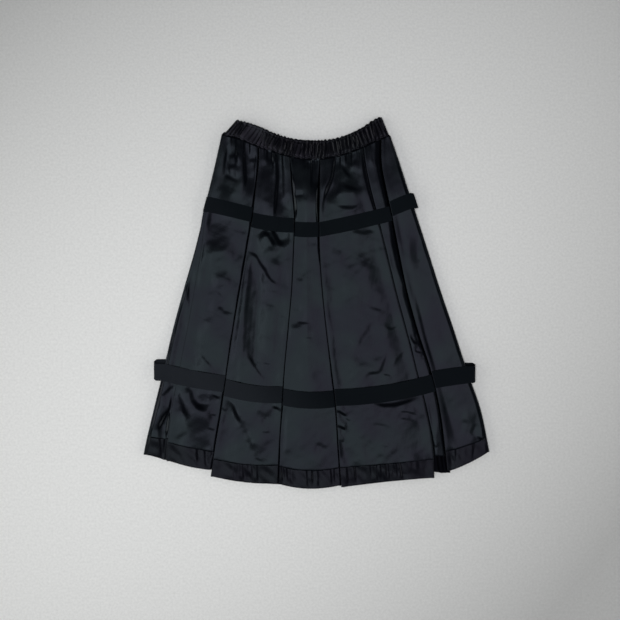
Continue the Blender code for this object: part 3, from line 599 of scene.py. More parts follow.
BAND_PINCH = (0.4, 0.035)  # how much the gathers lose there, and how far up and down
BAND_STITCH_DIP = (0.05, 0.03)
BAND_ROLL = 1.1
BAND_TUCK = 0.8  # how far the lowest row goes in at the seam
BAND_TUCK_RUN = 0.02
BAND_OUTSIDE = 0.9  # how far out of its middle the band's outer face starts
BAND_INNER_GATHER = 0.3
BAND_CLEAR = 0.15

# Stitches
STITCH_LENGTH = 2.4
STITCH_PITCH = 3.3
STITCH_START = 0.15
STITCH_RADIUS = 0.22
STITCH_SIDES = 5
STITCH_RINGS = ((0.0, 0.5, -0.1), (0.5, 1.0, 0.1), (1.0, 0.5, -0.1))  # place, size and lift
HEM_STITCH_UP = 5.0
PANEL_STITCHES = (0.02, 0.98, 60)  # from where to where, as shares, and how many points
SIDE_STITCHES = (0.05, 0.9, 40)
STITCH_INSET = 3.0

# Sheets
SHEET_LEAST = 0.31  # the least share of its flat size that a sheet's area may be

# Cloths: colours, roughness, specular, tint of the sheen, weave (across, down and height) and the
# colour that painted light gives it towards the lower left
Cloth = namedtuple("Cloth", "dark light rough specular tint weave worn", defaults=(None,))
CLOTHS = {
    "satin": Cloth(
        (0.0006, 0.0008, 0.0014), (0.0012, 0.0014, 0.0022), (0.19, 0.225), 0.16,
        (0.76, 0.87, 1.0), (0.32, 2.4, 0.015),
    ),
    "hem_satin": Cloth(
        (0.0014, 0.0014, 0.0026), (0.0022, 0.0022, 0.0038), (0.25, 0.31), 0.105,
        (0.82, 0.87, 1.0), (0.32, 2.0, 0.03),
    ),
    # A copy of the hem satin with little shine: painted shade for the underlay's hem, deep in the open pleat
    "painted_shade_hem_satin": Cloth(
        (0.0014, 0.0014, 0.0026), (0.0022, 0.0022, 0.0038), (0.45, 0.55), 0.02,
        (0.82, 0.87, 1.0), (0.32, 2.0, 0.03),
    ),
    "waistband_satin": Cloth(
        (0.0008, 0.0008, 0.0014), (0.0016, 0.0016, 0.0024), (0.20, 0.25), 0.15,
        (0.86, 0.86, 1.0), (0.32, 2.0, 0.015),
    ),
    # The tape's last colour is painted light: the tape turns lighter towards the lower left, where light
    # falls
    "tape": Cloth(
        (0.0028, 0.0040, 0.0054), (0.0042, 0.0058, 0.0076), (0.70, 0.82), 0.045,
        (0.80, 0.92, 1.0), (1.0, 1.6, 0.12), (0.0150, 0.0170, 0.0210),
    ),
    "thread": Cloth(
        (0.008, 0.008, 0.010), (0.012, 0.012, 0.015), (0.5, 0.6), 0.4,
        (0.9, 0.92, 1.0), (0.3, 0.3, 0.02),
    ),
}
PATCHES = (22.0, 4.0)  # scale and detail of a noise
PATCH_RANGE = (0.3, 0.7)
CLOUDS = (11.0, 1.0)
CLOUD_RANGE = (0.4, 0.6)
SLUBS = (0.4, 3.0)
TINT_SHIFTS = ((0.97, 1.04, 1.0), (0.93, 0.88, 0.95))
THREAD_SCALE = 0.31
THREAD_WOBBLE = 0.6
WEAVE_STRENGTH = 0.35
PAINTED_LIGHT_WAY = (1.0, 0.5, 0.0)  # the way along which a cloth's painted light grows, and from where to where in metres
PAINTED_LIGHT_FROM = (-0.06, -0.33)

# Floor
FLOOR_SIZE = 12.0
FLOOR_COLOURS = ((0.76, 0.75, 0.72, 1), (1.0, 0.99, 0.955, 1))
FLOOR_GRAIN = (190.0, 5.0)
FLOOR_BUMP = (0.3, 0.0004)  # strength, and height in metres
FLOOR_ROUGH = 0.9
FLOOR_SPECULAR = 0.2
FLOOR_BRIGHT = 1.05
FLOOR_LEAST = 0.55
# Painted shade that darkens the floor towards its corners: the coordinates that each term multiplies, and its
# share
FLOOR_SHADE = (("X", -0.158), ("Y", -0.032), ("XX", -0.445), ("YY", -0.445), ("XY", 0.325))

# Lights: place and size in metres, radiance, colour, and the point that each faces, if not the one
# straight below it
Light = namedtuple("Light", "name place size radiance colour target", defaults=(None,))
CENTRE = (0.0, 0.0, 0.0)
LIGHTS = (
    Light("overhead", (-0.5, -0.40, 5.0), (2.0, 2.54), 1.75, (0.96, 1.01, 1.04)),
    Light("overhead_right", (1.0, -0.40, 5.0), (1.0, 2.54), 1.65, (1.04, 0.93, 1.06)),
    Light("key_left", (-2.2, -0.36, 5.0), (1.4, 2.62), 2.6, (0.97, 1.0, 1.03)),
    Light("overhead_wide", (-0.35, -1.01, 5.1), (7.3, 4.52), 0.62, (0.98, 1.0, 1.03)),
    Light("overhead_far", (-0.35, 1.93, 5.1), (7.3, 1.36), 0.27, (0.98, 1.0, 1.03)),
    Light("left_side", (-3.6, -0.3, 1.0), (7.0, 1.5), 2.7, (1.0, 1.0, 0.96), CENTRE),
    Light("right_side", (3.6, -0.3, 1.0), (7.0, 1.5), 2.1, (1.0, 0.99, 0.95), CENTRE),
    Light("hem_side", (0.0, -3.9, 0.9), (6.0, 1.2), 1.5, (1.0, 1.0, 0.96), CENTRE),
)
WORLD_COLOUR = (0.75, 0.85, 1.0, 1)
WORLD_STRENGTH = 0.10

# The photograph's view: straight down on the skirt
VIEW_CENTRE = (-0.0143, -0.0165)
VIEW_HEIGHT = 2.0
VIEW_WIDTH = 1.364  # what the square picture takes in at the skirt
SENSOR = 36.0
STEEP = 0.9  # share of a way that is up, past which it counts as upright


def lerp(start, end, share):
    return start + (end - start) * share


def smoothstep(value):
    value = np.clip(value, 0.0, 1.0)
    return value * value * (3 - 2 * value)


def ramp(value, start, run):
    """0 up to a start, 1 from its run on, and smooth between."""
    return smoothstep((value - start) / run)


def sway(value, x, *waves):
    """A value with waves along x added to it: each one's size, length and start."""
    for size, length, start in waves:
        value = value + size * np.sin(x / length + start)
    return value


def uneven_wave(x, length, *sways):
    return np.sin(sway(x / length, x, *sways))


def beat(x, waves):
    """Waves along x multiplied together: each one's length and start."""
    value = 1.0
    for length, start in waves:
        value = value * np.sin(x / length + start)
    return value


def soft_floor(value, softness=0.9):
    """The value where it is well above 0, easing to 0 below."""
    return 0.5 * (value + np.sqrt(value * value + softness * softness))


def grid(x, y, z):
    return np.stack(np.broadcast_arrays(x, y, z), axis=2)


class Curve:
    """A smooth curve through (x, y) points in order of x, straight past its ends."""

    def __init__(self, points):
        self.xs, self.ys = np.array(sorted(points), dtype=float).T
        self.slopes = np.gradient(self.ys, self.xs)

    def __call__(self, x):
        x = np.asarray(x, dtype=float)
        i = np.clip(np.searchsorted(self.xs, x) - 1, 0, len(self.xs) - 2)
        width = self.xs[i + 1] - self.xs[i]
        t = np.clip((x - self.xs[i]) / width, 0.0, 1.0)
        start = (2 * t**3 - 3 * t**2 + 1) * self.ys[i] + (t**3 - 2 * t**2 + t) * width * self.slopes[i]
        end = (3 * t**2 - 2 * t**3) * self.ys[i + 1] + (t**3 - t**2) * width * self.slopes[i + 1]
        before = np.minimum(x - self.xs[0], 0.0) * self.slopes[0]
        after = np.maximum(x - self.xs[-1], 0.0) * self.slopes[-1]
        return start + end + before + after


def three_point(values, share):
    """The parabola through three values at 0, 0.5 and 1."""
    first, middle, last = values
    share = np.clip(share, 0.0, 1.0)
    return first + share * (4 * middle - 3 * first - last) + share * share * 2 * (first + last - 2 * middle)


LINE = {
    name: Curve([(row[0], row[i]) for row in LINES])
    for i, name in enumerate(LINE_COLUMNS)
    if name != "y"
}
WAIST_TOP_CURVE = Curve(WAIST_TOP)
WAIST_SEAM_CURVE = Curve(WAIST_SEAM)


def below_waist(x, y):
    """How far a point lies below the waist seam."""
    return WAIST_SEAM_CURVE(np.clip(x, WAIST_SEAM[0][0], WAIST_SEAM[-1][0])) - y


def turn_inwards(outline):
    """Direction along X from an outline towards the middle of the skirt."""
    return 1 if outline == "left" else -1


def back_strap_y(which, x, y):
    """Height of a strap's middle where it runs across the back."""
    left = LINE["left"](y)
    right = LINE["right"](y)
    return three_point(BACK_STRAP_HEIGHTS[which], (x - left) / (right - left))


def back_lift(x, y, strap_ramp=STRAP_RAMP):
    """How far the back cloth is lifted off the surface by the straps under it."""
    lift = 0.0
    for which, width in STRAP_WIDTH.items():
        clear = np.abs(y - back_strap_y(which, x, y)) - 0.5 * width
        lift = np.maximum(lift, 1 - ramp(clear, *strap_ramp))
    return lift * (TAPE + LAP_GAP)


def front_floor(x, y, held_x):
    """The lowest that the front cloth lies. Near a pleat line held_x is the line's."""
    left = LINE["left"](y)
    right = LINE["right"](y)
    share = np.clip((x - left) / (right - left), 0.0, 1.0)
    loft = lerp(SIDE_LOFT, MIDDLE_LOFT, 1 - (2 * share - 1) ** LOFT_POWER)
    gathered = GATHER_LOFT * (1 - smoothstep(below_waist(held_x, y) / GATHER_DROP))
    return SATIN + back_lift(x, y, FRONT_STRAP_RAMP) + loft + soft_floor(gathered + GATHER_EASE)


def pull_to_line(side, distance):
    """1 where the cloth follows the pleat line's own rise and fall, 0 where it is free."""
    return 1 - ramp(distance, LAP_DEPTH if side == "over" else 0.0, HELD_FADE)


def groove_width(name, line, y):
    """Width of the groove beside a pleat line, at some heights."""
    heights, widths = np.array(GROOVES.get((name, line), ((0, GROOVE),)), dtype=float)[::-1].T
    return np.interp(y, heights, widths)


def edge_level(side, distance, groove):
    """Height over the floor at a distance inside a pleat line, before the puff."""
    if side == "over":
        return LAP_STEP
    return LAP_STEP * ramp(distance, -GROOVE_OUT, groove + GROOVE_OUT)


def edge_thickness(side, distance):
    """A pressed pleat edge is two plies thick, and the upper one eases down from it."""
    if side == "over":
        return lerp(PLEAT_EDGE, SATIN, ramp(distance, *PLY_RAMP))
    return SATIN


def panel_form(panel, x, y):
    """Height of a gore's smooth front."""
    x_1 = LINE[panel.line_1](y)
    x_2 = LINE[panel.line_2](y)
    inside_1 = x - x_1
    inside_2 = x_2 - x
    held_x = x + pull_to_line(panel.side_1, inside_1) * (x_1 - x)
    held_x = held_x + pull_to_line(panel.side_2, inside_2) * (x_2 - x)
    level_1 = edge_level(panel.side_1, inside_1, groove_width(panel.name, panel.line_1, y))
    level_2 = edge_level(panel.side_2, inside_2, groove_width(panel.name, panel.line_2, y))
    level = np.minimum(level_1, level_2)
    thickness = np.maximum(edge_thickness(panel.side_1, inside_1), edge_thickness(panel.side_2, inside_2))
    rise = panel.puff * ramp(np.minimum(inside_1, inside_2), *PUFF_RAMP)
    return front_floor(x, y, held_x) + level + rise + thickness


def side_form(side, x, y, inside, to_fold):
    """Height of a side gore's smooth front, which rounds down to the fold at its outline."""
    held_x = x + pull_to_line(side.side, inside) * (LINE[side.line](y) - x)
    level = LAP_STEP if side.side == "over" else 0.0
    rise = side.puff * ramp(inside, *SIDE_PUFF_RAMP) * ramp(to_fold, *SIDE_FOLD_RAMP)
    return front_floor(x, y, held_x) + level + rise + edge_thickness(side.side, inside)


def path_points(path):
    """Points at even steps along a smooth path through a few points."""
    path = np.array(path, dtype=float)
    lengths = np.linalg.norm(np.diff(path, axis=0), axis=1)
    at = np.concatenate([[0.0], np.cumsum(lengths)])
    steps = np.linspace(0.0, at[-1], PATH_STEPS)
    return np.stack([Curve(zip(at, path[:, i]))(steps) for i in (0, 1)], axis=1)


def near_path(path, reach, x, y):
    """The points near a path, how far off it and how far to its left they are, and a swell along
    it that fades to nothing at both ends."""
    points = path_points(path)
    low = points.min(axis=0) - reach
    high = points.max(axis=0) + reach
    near = (x > low[0]) & (x < high[0]) & (y > low[1]) & (y < high[1])
    spots = np.stack([x[near], y[near]], axis=1)
    best = np.full(len(spots), np.inf)
    left = np.zeros(len(spots))
    along = np.zeros(len(spots))
    for i, (start, end) in enumerate(zip(points[:-1], points[1:])):
        step = end - start
        offset = spots - start
        t = np.clip(offset @ step / (step @ step), 0.0, 1.0)
        miss = np.linalg.norm(offset - t[:, None] * step, axis=1)
        closer = miss < best
        best[closer] = miss[closer]
        left[closer] = (step[0] * offset[:, 1] - step[1] * offset[:, 0])[closer] / np.linalg.norm(step)
        along[closer] = (i + t[closer]) / (len(points) - 1)
    return near, best, left, smoothstep(along / PATH_TAPER) * smoothstep((1 - along) / PATH_TAPER)


def crease_height(x, y, width, rise, *path):
    """Height of one crease: soft across, and fading to nothing at both ends."""
    near, miss, _, swell = near_path(path, CREASE_REACH * width, x, y)
    across = miss / (width * lerp(CREASE_LEAST, 1.0, swell))
    height = np.zeros_like(x)
    height[near] = rise * swell * np.exp(CREASE_CREST - (across**2 + CREASE_BLUNT) ** CREASE_POWER)
    return CREASE_HEIGHT * height


def ledge_height(x, y, width, slope, *path):
    """Height of one ledge: steepest on its path, and easing back slowly on both sides."""
    near, _, left, swell = near_path(path, LEDGE_REACH * width, x, y)
    across = left / width
    ease = 1 - ramp(np.abs(across), *LEDGE_RAMP)
    height = np.zeros_like(x)
    height[near] = slope * width * swell * ease * across / (1 + across**2)
    return height


def facet_height(x, y, middle_x, middle_y, half_x, half_y, slope_x, slope_y):
    """Height of one facet: an even lean over its patch, and a short way back round it."""
    across = x - middle_x
    up = y - middle_y
    return (slope_x * across + slope_y * up) * np.exp(-((across / half_x) ** 4) - (up / half_y) ** 4)


def make_ripples():
    """Random waves, the same ones on each run: numbers along X and Y, phase and height."""
    random = np.random.RandomState(RIPPLE_SEED)
    waves = []
    for length, height, count in RIPPLES:
        for _ in range(count):
            angle = random.uniform(0, math.pi)
            number = 2 * math.pi / (length * random.uniform(*RIPPLE_SPREAD))
            phase = random.uniform(0, RIPPLE_PHASE)
            size = height * math.sqrt(2.0 / count)
            waves.append((number * math.cos(angle), number * math.sin(angle), phase, size))
    return waves


WAVES = make_ripples()


def ripple(x, y):
    """The small unevenness of cloth that has been worn and laid down."""
    height = np.zeros_like(x)
    for across, up, phase, size in WAVES:
        height += size * np.sin(across * x + up * y + phase)
    return height


def waist_gather(x, y):
    """Small gathers that run down from the waist seam."""
    below = np.maximum(below_waist(x, y), 0.0)
    size = 0.5 + 0.5 * beat(x, WAIST_SIZE_BEAT)
    run = WAIST_GATHER_RUN * lerp(*WAIST_GATHER_SPREAD, size)
    fine = WAIST_FINE * size * uneven_wave(x, *WAIST_FINE_WAVE) * np.exp(-below / run)
    broad = WAIST_BROAD * uneven_wave(x, *WAIST_BROAD_WAVE) * np.exp(-below / (WAIST_BROAD_RUN * run))
    return WAIST_GATHER * (fine + broad) - WAIST_FALL * np.exp(-((below / WAIST_FALL_RUN) ** 2))


def detail(name, x, y):
    """Everything that the smooth form leaves out of a gore."""
    calm = 1 - CALM_SHARE * ramp(y, *CALM_RAMP)
    height = calm * RIPPLE_SHARE.get(name, 1.0) * ripple(x, y) + waist_gather(x, y)
    for table, fold_height in ((CREASES, crease_height), (LEDGES, ledge_height), (FACETS, facet_height)):
        for fold in table.get(name, ()):
            height += fold_height(x, y, *fold)
    return height


def edge_fade(side, distance, height):
    """Keeps the plies at a pleat line clear of each other."""
    if side == "under":
        return height * ramp(distance, *UNDER_FADE_RAMP)
    eased = height * lerp(OVER_KEPT, 1.0, ramp(distance, *OVER_FADE_RAMP))
    least = lerp(*OVER_LEAST, smoothstep(distance / OVER_REACH))
    return np.where(distance < OVER_REACH, np.maximum(eased, least), eased)


def edge_fall(name, line, distance, y):
    """How the cloth falls to one of its pleat lines."""
    falls = EDGE_FALLS.get((name, line))
    if falls is None:
        return 0.0
    heights, widths, sinks, bulges = np.array(falls, dtype=float)[::-1].T
    width = np.interp(y, heights, widths)
    fall = smoothstep(distance / width)
    bulge = np.interp(y, heights, bulges) * fall * (1 - ramp(distance, width, BULGE_RUN * width))
    return bulge - np.interp(y, heights, sinks) * (1 - fall)


def pucker_height(x, y, seam_y, edge_y):
    """The small creases of the hem band, deepest near its seam."""
    down = np.clip((seam_y - y) / (seam_y - edge_y), 0.0, 1.0)
    height = np.zeros_like(x)
    for i, (place, drift, depth) in enumerate(PUCKERS):
        width = PUCKER_WIDTH * PUCKER_WIDTHS[i % len(PUCKER_WIDTHS)]
        miss = (x - place - drift * down) / width
        fade = smoothstep((1.0 - down) / PUCKER_RUNS[i % len(PUCKER_RUNS)])
        ease = np.exp(-((miss / PUCKER_REACH) ** 2))
        height -= PUCKER_SLOPE * depth * width * fade * ease * miss / (1 + miss * miss)
    broad = uneven_wave(x, *HEM_BROAD_WAVE) * beat(x, HEM_BROAD_BEAT)
    height += HEM_BROAD * broad * smoothstep((HEM_BROAD_TOP - down) / HEM_BROAD_RUN)
    length, *sways = HEM_MOTTLE_WAVE
    mottle = np.sin(sway(HEM_MOTTLE_RISE * y + x / length, x, *sways)) * beat(x, HEM_MOTTLE_BEAT)
    from_middle = x - HEM_SWAY_MIDDLE
    wave = np.cos(from_middle / np.where(from_middle < 0, *HEM_SWAY_LENGTHS))
    return height + HEM_MOTTLE * mottle + HEM_SWAY * wave * (seam_y - edge_y) * (down - 0.5)


def hollow_height(x, y):
    """The folds of the underlay's hem, where it is crushed in the open pleat."""
    place_x, place_y = HOLLOW_PLACE
    deep = ramp(x, *HOLLOW_LEFT_RAMP) * ramp(-y, *HOLLOW_TOP_RAMP)
    tooth = 1 - np.mod((x - place_x + HOLLOW_LEAN * (y - place_y)) / HOLLOW_PITCH, 1.0)
    tooth = tooth * smoothstep((1 - tooth) / HOLLOW_STEEP)
    return deep * (HOLLOW_HEIGHT * (tooth - 0.5) - HOLLOW_SINK)


def creased(name, x, y, band):
    """Height of a gore's creases; with a band's seam and edge, that of its hem band's."""
    height = detail(name, x, y)
    if band:
        height = HEM_KEPT * height + pucker_height(x, y, *band)
    if band and name == "pleat_underlay":
        height = height + hollow_height(x, y)
    return height


def panel_height(panel, x, y, *band):
    """Height of a panel's cloth with all its creases; with a seam and edge, that of its hem band."""
    inside_1 = x - LINE[panel.line_1](y)
    inside_2 = LINE[panel.line_2](y) - x
    height = edge_fade(panel.side_1, inside_1, creased(panel.name, x, y, band))
    height = edge_fade(panel.side_2, inside_2, height)
    height = height + edge_fall(panel.name, panel.line_1, inside_1, y)
    height = height + edge_fall(panel.name, panel.line_2, inside_2, y)
    return panel_form(panel, x, y) + height


def side_height(side, x, y, *band):
    """Height of a side gore's front with all its creases, or that of its hem band."""
    turn = turn_inwards(side.outline)
    inside = turn * (LINE[side.line](y) - x)
    to_fold = turn * (x - LINE[side.outline](y)) - FOLD_WIDTH
    height = edge_fade(side.side, inside, creased(side.name, x, y, band))
    return side_form(side, x, y, inside, to_fold) + height * ramp(to_fold, *FOLD_FADE_RAMP)


# Columns of a sheet: share and offset across, where its height is read, and how far it hangs below
Column = namedtuple("Column", "share offset read drop")


def line_columns(side, share, turn):
    """The columns at a pleat line, outermost first; turn points into the panel."""
    if side == "under":
        return [Column(share, turn * step, turn * step, 0.0) for step in UNDER_STEPS]
    columns = [Column(share, turn * step, turn * step, -2 * ROLL) for step in LAP_STEPS]
    for angle in np.radians(ROLL_ANGLES[::-1]):
        offset = ROLL - ROLL * math.cos(angle)
        columns.append(Column(share, turn * offset, turn * ROLL, ROLL * math.sin(angle) - ROLL))
    return columns + [Column(share, turn * step, turn * step, 0.0) for step in EDGE_STEPS]


def between_columns(first, last, lines, step, y_wide):
    """Even columns between two; y_wide is the height where the piece is widest."""
    count = int(round(abs(float(LINE[lines[1]](y_wide) - LINE[lines[0]](y_wide))) / step))
    columns = []
    for share in np.arange(1, count) / count:
        offset = lerp(first.offset, last.offset, share)
        columns.append(Column(lerp(first.share, last.share, share), offset, offset, 0.0))
    return columns


def upright(columns):
    """Each field of some columns, as an upright array."""
    return np.array(columns).T[:, :, None]


def panel_columns(panel, step, y_wide):
    start = line_columns(panel.side_1, 0.0, 1)
    end = line_columns(panel.side_2, 1.0, -1)[::-1]
    between = between_columns(start[-1], end[0], (panel.line_1, panel.line_2), step, y_wide)
    return upright(start + between + end)


def side_columns(side, step, y_wide):
    """The front columns of a side gore, from its pleat line to where its fold starts."""
    start = line_columns(side.side, 0.0, -turn_inwards(side.outline))
    fold = Column(1.0, 0.0, 0.0, 0.0)
    return upright(start + between_columns(start[-1], fold, (side.line, side.outline), step, y_wide))


def waist_point(line_1, line_2, share, offset):
    """Where columns meet the waist seam."""
    y = np.full_like(share, FIRST_WAIST_Y)
    for _ in range(SETTLE_STEPS):
        y = WAIST_SEAM_CURVE(lerp(LINE[line_1](y), LINE[line_2](y), share) + offset)
    return y - WAIST_GAP


def gore_rows(top, seam_y):
    """Heights of a gore's rows: two in under the waistband, the gore, and one behind the hem band."""
    tucked = [top + up for up in WAIST_ROWS]
    rows = lerp(top, seam_y, np.linspace(0.0, 1.0, GORE_ROWS))
    return np.concatenate([*tucked, rows, seam_y - BEHIND_HEM], axis=1)


def tuck_gore(z, y, top, seam_y):
    """Takes a gore's top edge in under the waistband and its bottom edge in behind the hem band."""
    z = lerp(z, TUCK_HEIGHT + TUCK_KEPT * (z - TUCK_LEVEL), ramp(y - top, -TUCK_RUN, TUCK_RUN))
    above_seam = y - seam_y
    dip = SEAM_DIP * smoothstep((SEAM_SLOPE - above_seam) / SEAM_SLOPE)
    return z - dip - BEHIND_DIP * smoothstep(-above_seam / BEHIND_HEM)


def hem_turn(edge_y, shares):
    """Rows of the hem's lower edge, with how far each hangs: the roll, and what is turned up."""
    end = edge_y + HEM_ROLL
    rows = []
    for angle in np.radians(ROLL_ANGLES[1:]):
        rows.append((end - HEM_ROLL * math.cos(angle), HEM_ROLL * math.sin(angle) - HEM_ROLL))
    return rows + [(end + HEM_TURNING * share, -2 * HEM_ROLL) for share in shares]


def as_rows(rows):
    """Heights of rows, and how far each hangs below, as arrays."""
    return np.concatenate([row for row, _ in rows], axis=1), np.array([drop for _, drop in rows])


def hem_rows(seam_y, edge_y, length, groove_drops):
    """Heights of the hem band's rows with how far each hangs below: groove, band, roll and turning."""
    count = int(round(length / HEM_STEP))
    start = seam_y - SEAM_GAP - HEM_GROOVE[-1]
    rows = [(seam_y - SEAM_GAP - down, drop) for down, drop in zip(HEM_GROOVE, groove_drops)]
    rows += [(lerp(start, edge_y + HEM_ROLL, i / count), 0.0) for i in range(1, count + 1)]
    return as_rows(rows + hem_turn(edge_y, HEM_TURNING_ROWS))


def add_object(name, data):
    made = bpy.data.objects.new(name, data)
    bpy.context.scene.collection.objects.link(made)
    return made


def add_piece(name, mesh, finish):
    """A piece that shows, smooth and in its finish."""
    mesh.shade_smooth()
    mesh.materials.append(MATERIALS[finish])
    piece = add_object(name, mesh)
    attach(piece, "root")
    return piece


def add_grid(name, points, slot, finish=None, flip=False, ring=False, tube=False):
    """A sheet through a grid of points in millimetres, its UVs measured along the cloth in metres.
    A ring's last column is its first one again, and so are a tube's rows; a tube's ends are closed."""
    columns, rows = points.shape[:2]
    across = np.linalg.norm(np.diff(points, axis=0), axis=2)
    u = np.concatenate([np.zeros((1, rows)), np.cumsum(across, axis=0)])
    u -= 0.5 * u[-1]
    down = np.linalg.norm(np.diff(points, axis=1), axis=2)
    v = -np.concatenate([np.zeros((columns, 1)), np.cumsum(down, axis=1)], axis=1)
    uv = np.stack([u, v], axis=2).reshape(-1, 2) * MM
    place = np.arange(columns * rows).reshape(columns, rows)
    vertex = place.copy()
    if ring:
        vertex[-1] = vertex[0]
    if tube:
        vertex[:, -1] = vertex[:, 0]

    def corners(index):
        found = [index[:-1, :-1], index[:-1, 1:], index[1:, 1:], index[1:, :-1]]
        if flip:
            found.reverse()
        return np.stack([corner.ravel() for corner in found], axis=1)

    used, faces = np.unique(corners(vertex), return_inverse=True)
    faces = faces.reshape(-1, 4).tolist()
    loops = uv[corners(place).ravel()]
    if tube:
        for end in (0, -1):
            cap = np.searchsorted(used, vertex[end, :-1])
            order = 1 if (end == 0) == flip else -1
            faces.append(cap[::order].tolist())
            loops = np.concatenate([loops, uv[place[end, :-1]][::order]])
    mesh = bpy.data.meshes.new(name)
    mesh.from_pydata((points.reshape(-1, 3)[used] * MM).tolist(), [], faces)
    layer = mesh.uv_layers.new(name="UVMap")
    layer.data.foreach_set("uv", loops.ravel())
    return add_piece(name, mesh, finish or slot)


def cloth_size(points):
    """Width, length and area of the cloth in a grid, in metres, as it would lie flat."""
    across = np.linalg.norm(np.diff(points, axis=0), axis=2).sum(axis=0)
    down = np.linalg.norm(np.diff(points, axis=1), axis=2).sum(axis=1)
    a = points[1:, :-1] - points[:-1, :-1]
    b = points[:-1, 1:] - points[:-1, :-1]
    area = np.linalg.norm(np.cross(a, b), axis=2).sum()
    return float(across.max()) * MM, float(down.max()) * MM, float(area) * MM * MM


def add_cloth(name, points, slot, finish=None, flip=False):
    """The cloth that takes a solid's place, hiding the solid; its flat size and area are worked out but not
    used.
    """
    piece = add_grid(name + "_cloth", points, slot, finish, flip)
    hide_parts(name)
    width, length, area = cloth_size(points)
    area = min(max(area, SHEET_LEAST * width * length), width * length)


def build_panel(panel):
    """A front gore and the stretch of hem band below it."""
    share, offset, read, drop = panel_columns(panel, GORE_STEP, PANEL_WIDE_Y[0])
    top = waist_point(panel.line_1, panel.line_2, share, offset)
    seam_y = three_point(panel.seam, share)
    y = gore_rows(top, seam_y)
    base = lerp(LINE[panel.line_1](y), LINE[panel.line_2](y), share)
    z = tuck_gore(panel_height(panel, base + read, y), y, top, seam_y) + drop
    add_cloth(panel.name, grid(base + offset, y, z), "satin")

    share, offset, read, drop = panel_columns(panel, HEM_STEP, PANEL_WIDE_Y[1])
    seam_y = three_point(panel.seam, share)
    edge_y = three_point(panel.edge, share)
    y, hang = hem_rows(seam_y, edge_y, float(np.max(seam_y - edge_y)), PANEL_GROOVE_DROPS)
    base = lerp(LINE[panel.line_1](y), LINE[panel.line_2](y), share)
    z = panel_height(panel, base + read, y, seam_y, edge_y) + drop + hang
    # The underlay's hem takes painted shade: a copy of the hem satin with little shine
    finish = "painted_shade_hem_satin" if panel.name == "pleat_underlay" else "hem_satin"
    add_cloth(panel.name + "_hem", grid(base + offset, y, z), "hem_satin", finish)


def back_wrinkle(x, y):
    """Soft wrinkles in the cloth on the back, up from the surface that it lies on."""
    near_edge = ramp(x - LINE["left"](y), *BACK_EDGE_RAMP) * ramp(LINE["right"](y) - x, *BACK_EDGE_RAMP)
    (scale_x, move_x), (scale_y, move_y) = BACK_RIPPLE_PLACE
    height = BACK_RIPPLE * ripple(x * scale_x + move_x, y * scale_y + move_y)
    for crease in BACK_CREASES:
        height = height + crease_height(x, y, *crease)
    return np.clip(height, 0.0, BACK_WRINKLE_TOP) * near_edge


def side_grid(side, columns, rows_of):
    """Points of a side gore: front leaf, the soft fold at the outline and the back leaf. rows_of
    gives the heights of the rows at some columns, a hem band's seam and edge, and how far they hang."""
    turn = turn_inwards(side.outline)

    def fold_at(y, band):
        """The fold's middle in X and Z, and its radius."""
        x_out = LINE[side.outline](y)
        fold_x = x_out + turn * FOLD_WIDTH
        under = back_lift(fold_x, y) + BACK_CLEAR
        radius = 0.5 * (side_height(side, fold_x, y, *band) - under)
        return x_out + turn * radius, under + radius, radius

    share, offset, read, drop = columns
    y, band, hang = rows_of(share, offset)
    base = lerp(LINE[side.line](y), fold_at(y, band)[0], share)
    z = side_height(side, base + read, y, *band) + drop + hang
    front = grid(base + offset, y, z)

    angles = np.radians(SIDE_FOLD_ANGLES)[:, None]
    y, band, hang = rows_of(np.ones_like(angles), np.full_like(angles, turn * FOLD_WIDTH))
    middle_x, middle_z, radius = fold_at(y, band)
    radius = radius + 0.5 * hang
    fold = grid(middle_x - turn * radius * np.cos(angles), y, middle_z + radius * np.sin(angles))

    reaches = np.arange(FOLD_WIDTH + SIDE_BACK_STEP, BACK_REACH + 1, SIDE_BACK_STEP)[:, None]
    y, band, hang = rows_of(np.ones_like(reaches), turn * reaches)
    x = LINE[side.outline](y) + turn * reaches
    z = back_lift(x, y) + BACK_CLEAR + back_wrinkle(x, y) - 0.5 * hang
    return np.concatenate([front, fold, grid(x, y, z)])


def build_side(side):
    """A side gore and its stretch of hem band, round the outline to the back."""
    turn = turn_inwards(side.outline)
    deepest = max(seam - edge for seam, edge in zip(side.seam, side.edge))

    def gore_rows_of(share, offset):
        top = waist_point(side.line, side.outline, share, offset)
        return gore_rows(top, three_point(side.seam, share)), (), 0.0

    def hem_rows_of(share, _):
        band = (three_point(side.seam, share), three_point(side.edge, share))
        y, hang = hem_rows(*band, deepest, SIDE_GROOVE_DROPS)
        return y, band, hang

    points = side_grid(side, side_columns(side, GORE_STEP, SIDE_WIDE_Y[0]), gore_rows_of)
    y = points[:, :, 1]
    z = points[:, :, 2]
    top = y[:, len(WAIST_ROWS)][:, None]
    seam_y = y[:, -2][:, None]
    points[:, :, 2] = np.where(z > SIDE_TUCK_FROM, tuck_gore(z, y, top, seam_y), z)
    points[:, :, 0] += SIDE_TUCK_IN * turn * np.maximum(y - top, 0.0)
    add_cloth(side.name, points, "satin", flip=turn > 0)

    points = side_grid(side, side_columns(side, HEM_STEP, SIDE_WIDE_Y[1]), hem_rows_of)
    add_cloth(side.name + "_hem", points, "hem_satin", flip=turn > 0)


def back_x(share, y):
    """Across the back, between the side gores' back leaves."""
    left = LINE["left"](y) + BACK_REACH + SEAM_GAP
    right = LINE["right"](y) - BACK_REACH - SEAM_GAP
    return lerp(left, right, share)


def back_hem_ys(share):
    """Heights of the hem band's seam and edge across the back."""
    left, right = SIDES
    bow = 4 * share * (1 - share)
    seam_y = lerp(left.seam[-1], right.seam[-1], share) - BACK_SEAM_SAG * bow
    return seam_y, lerp(left.edge[-1], right.edge[-1], share) - BACK_EDGE_SAG * bow


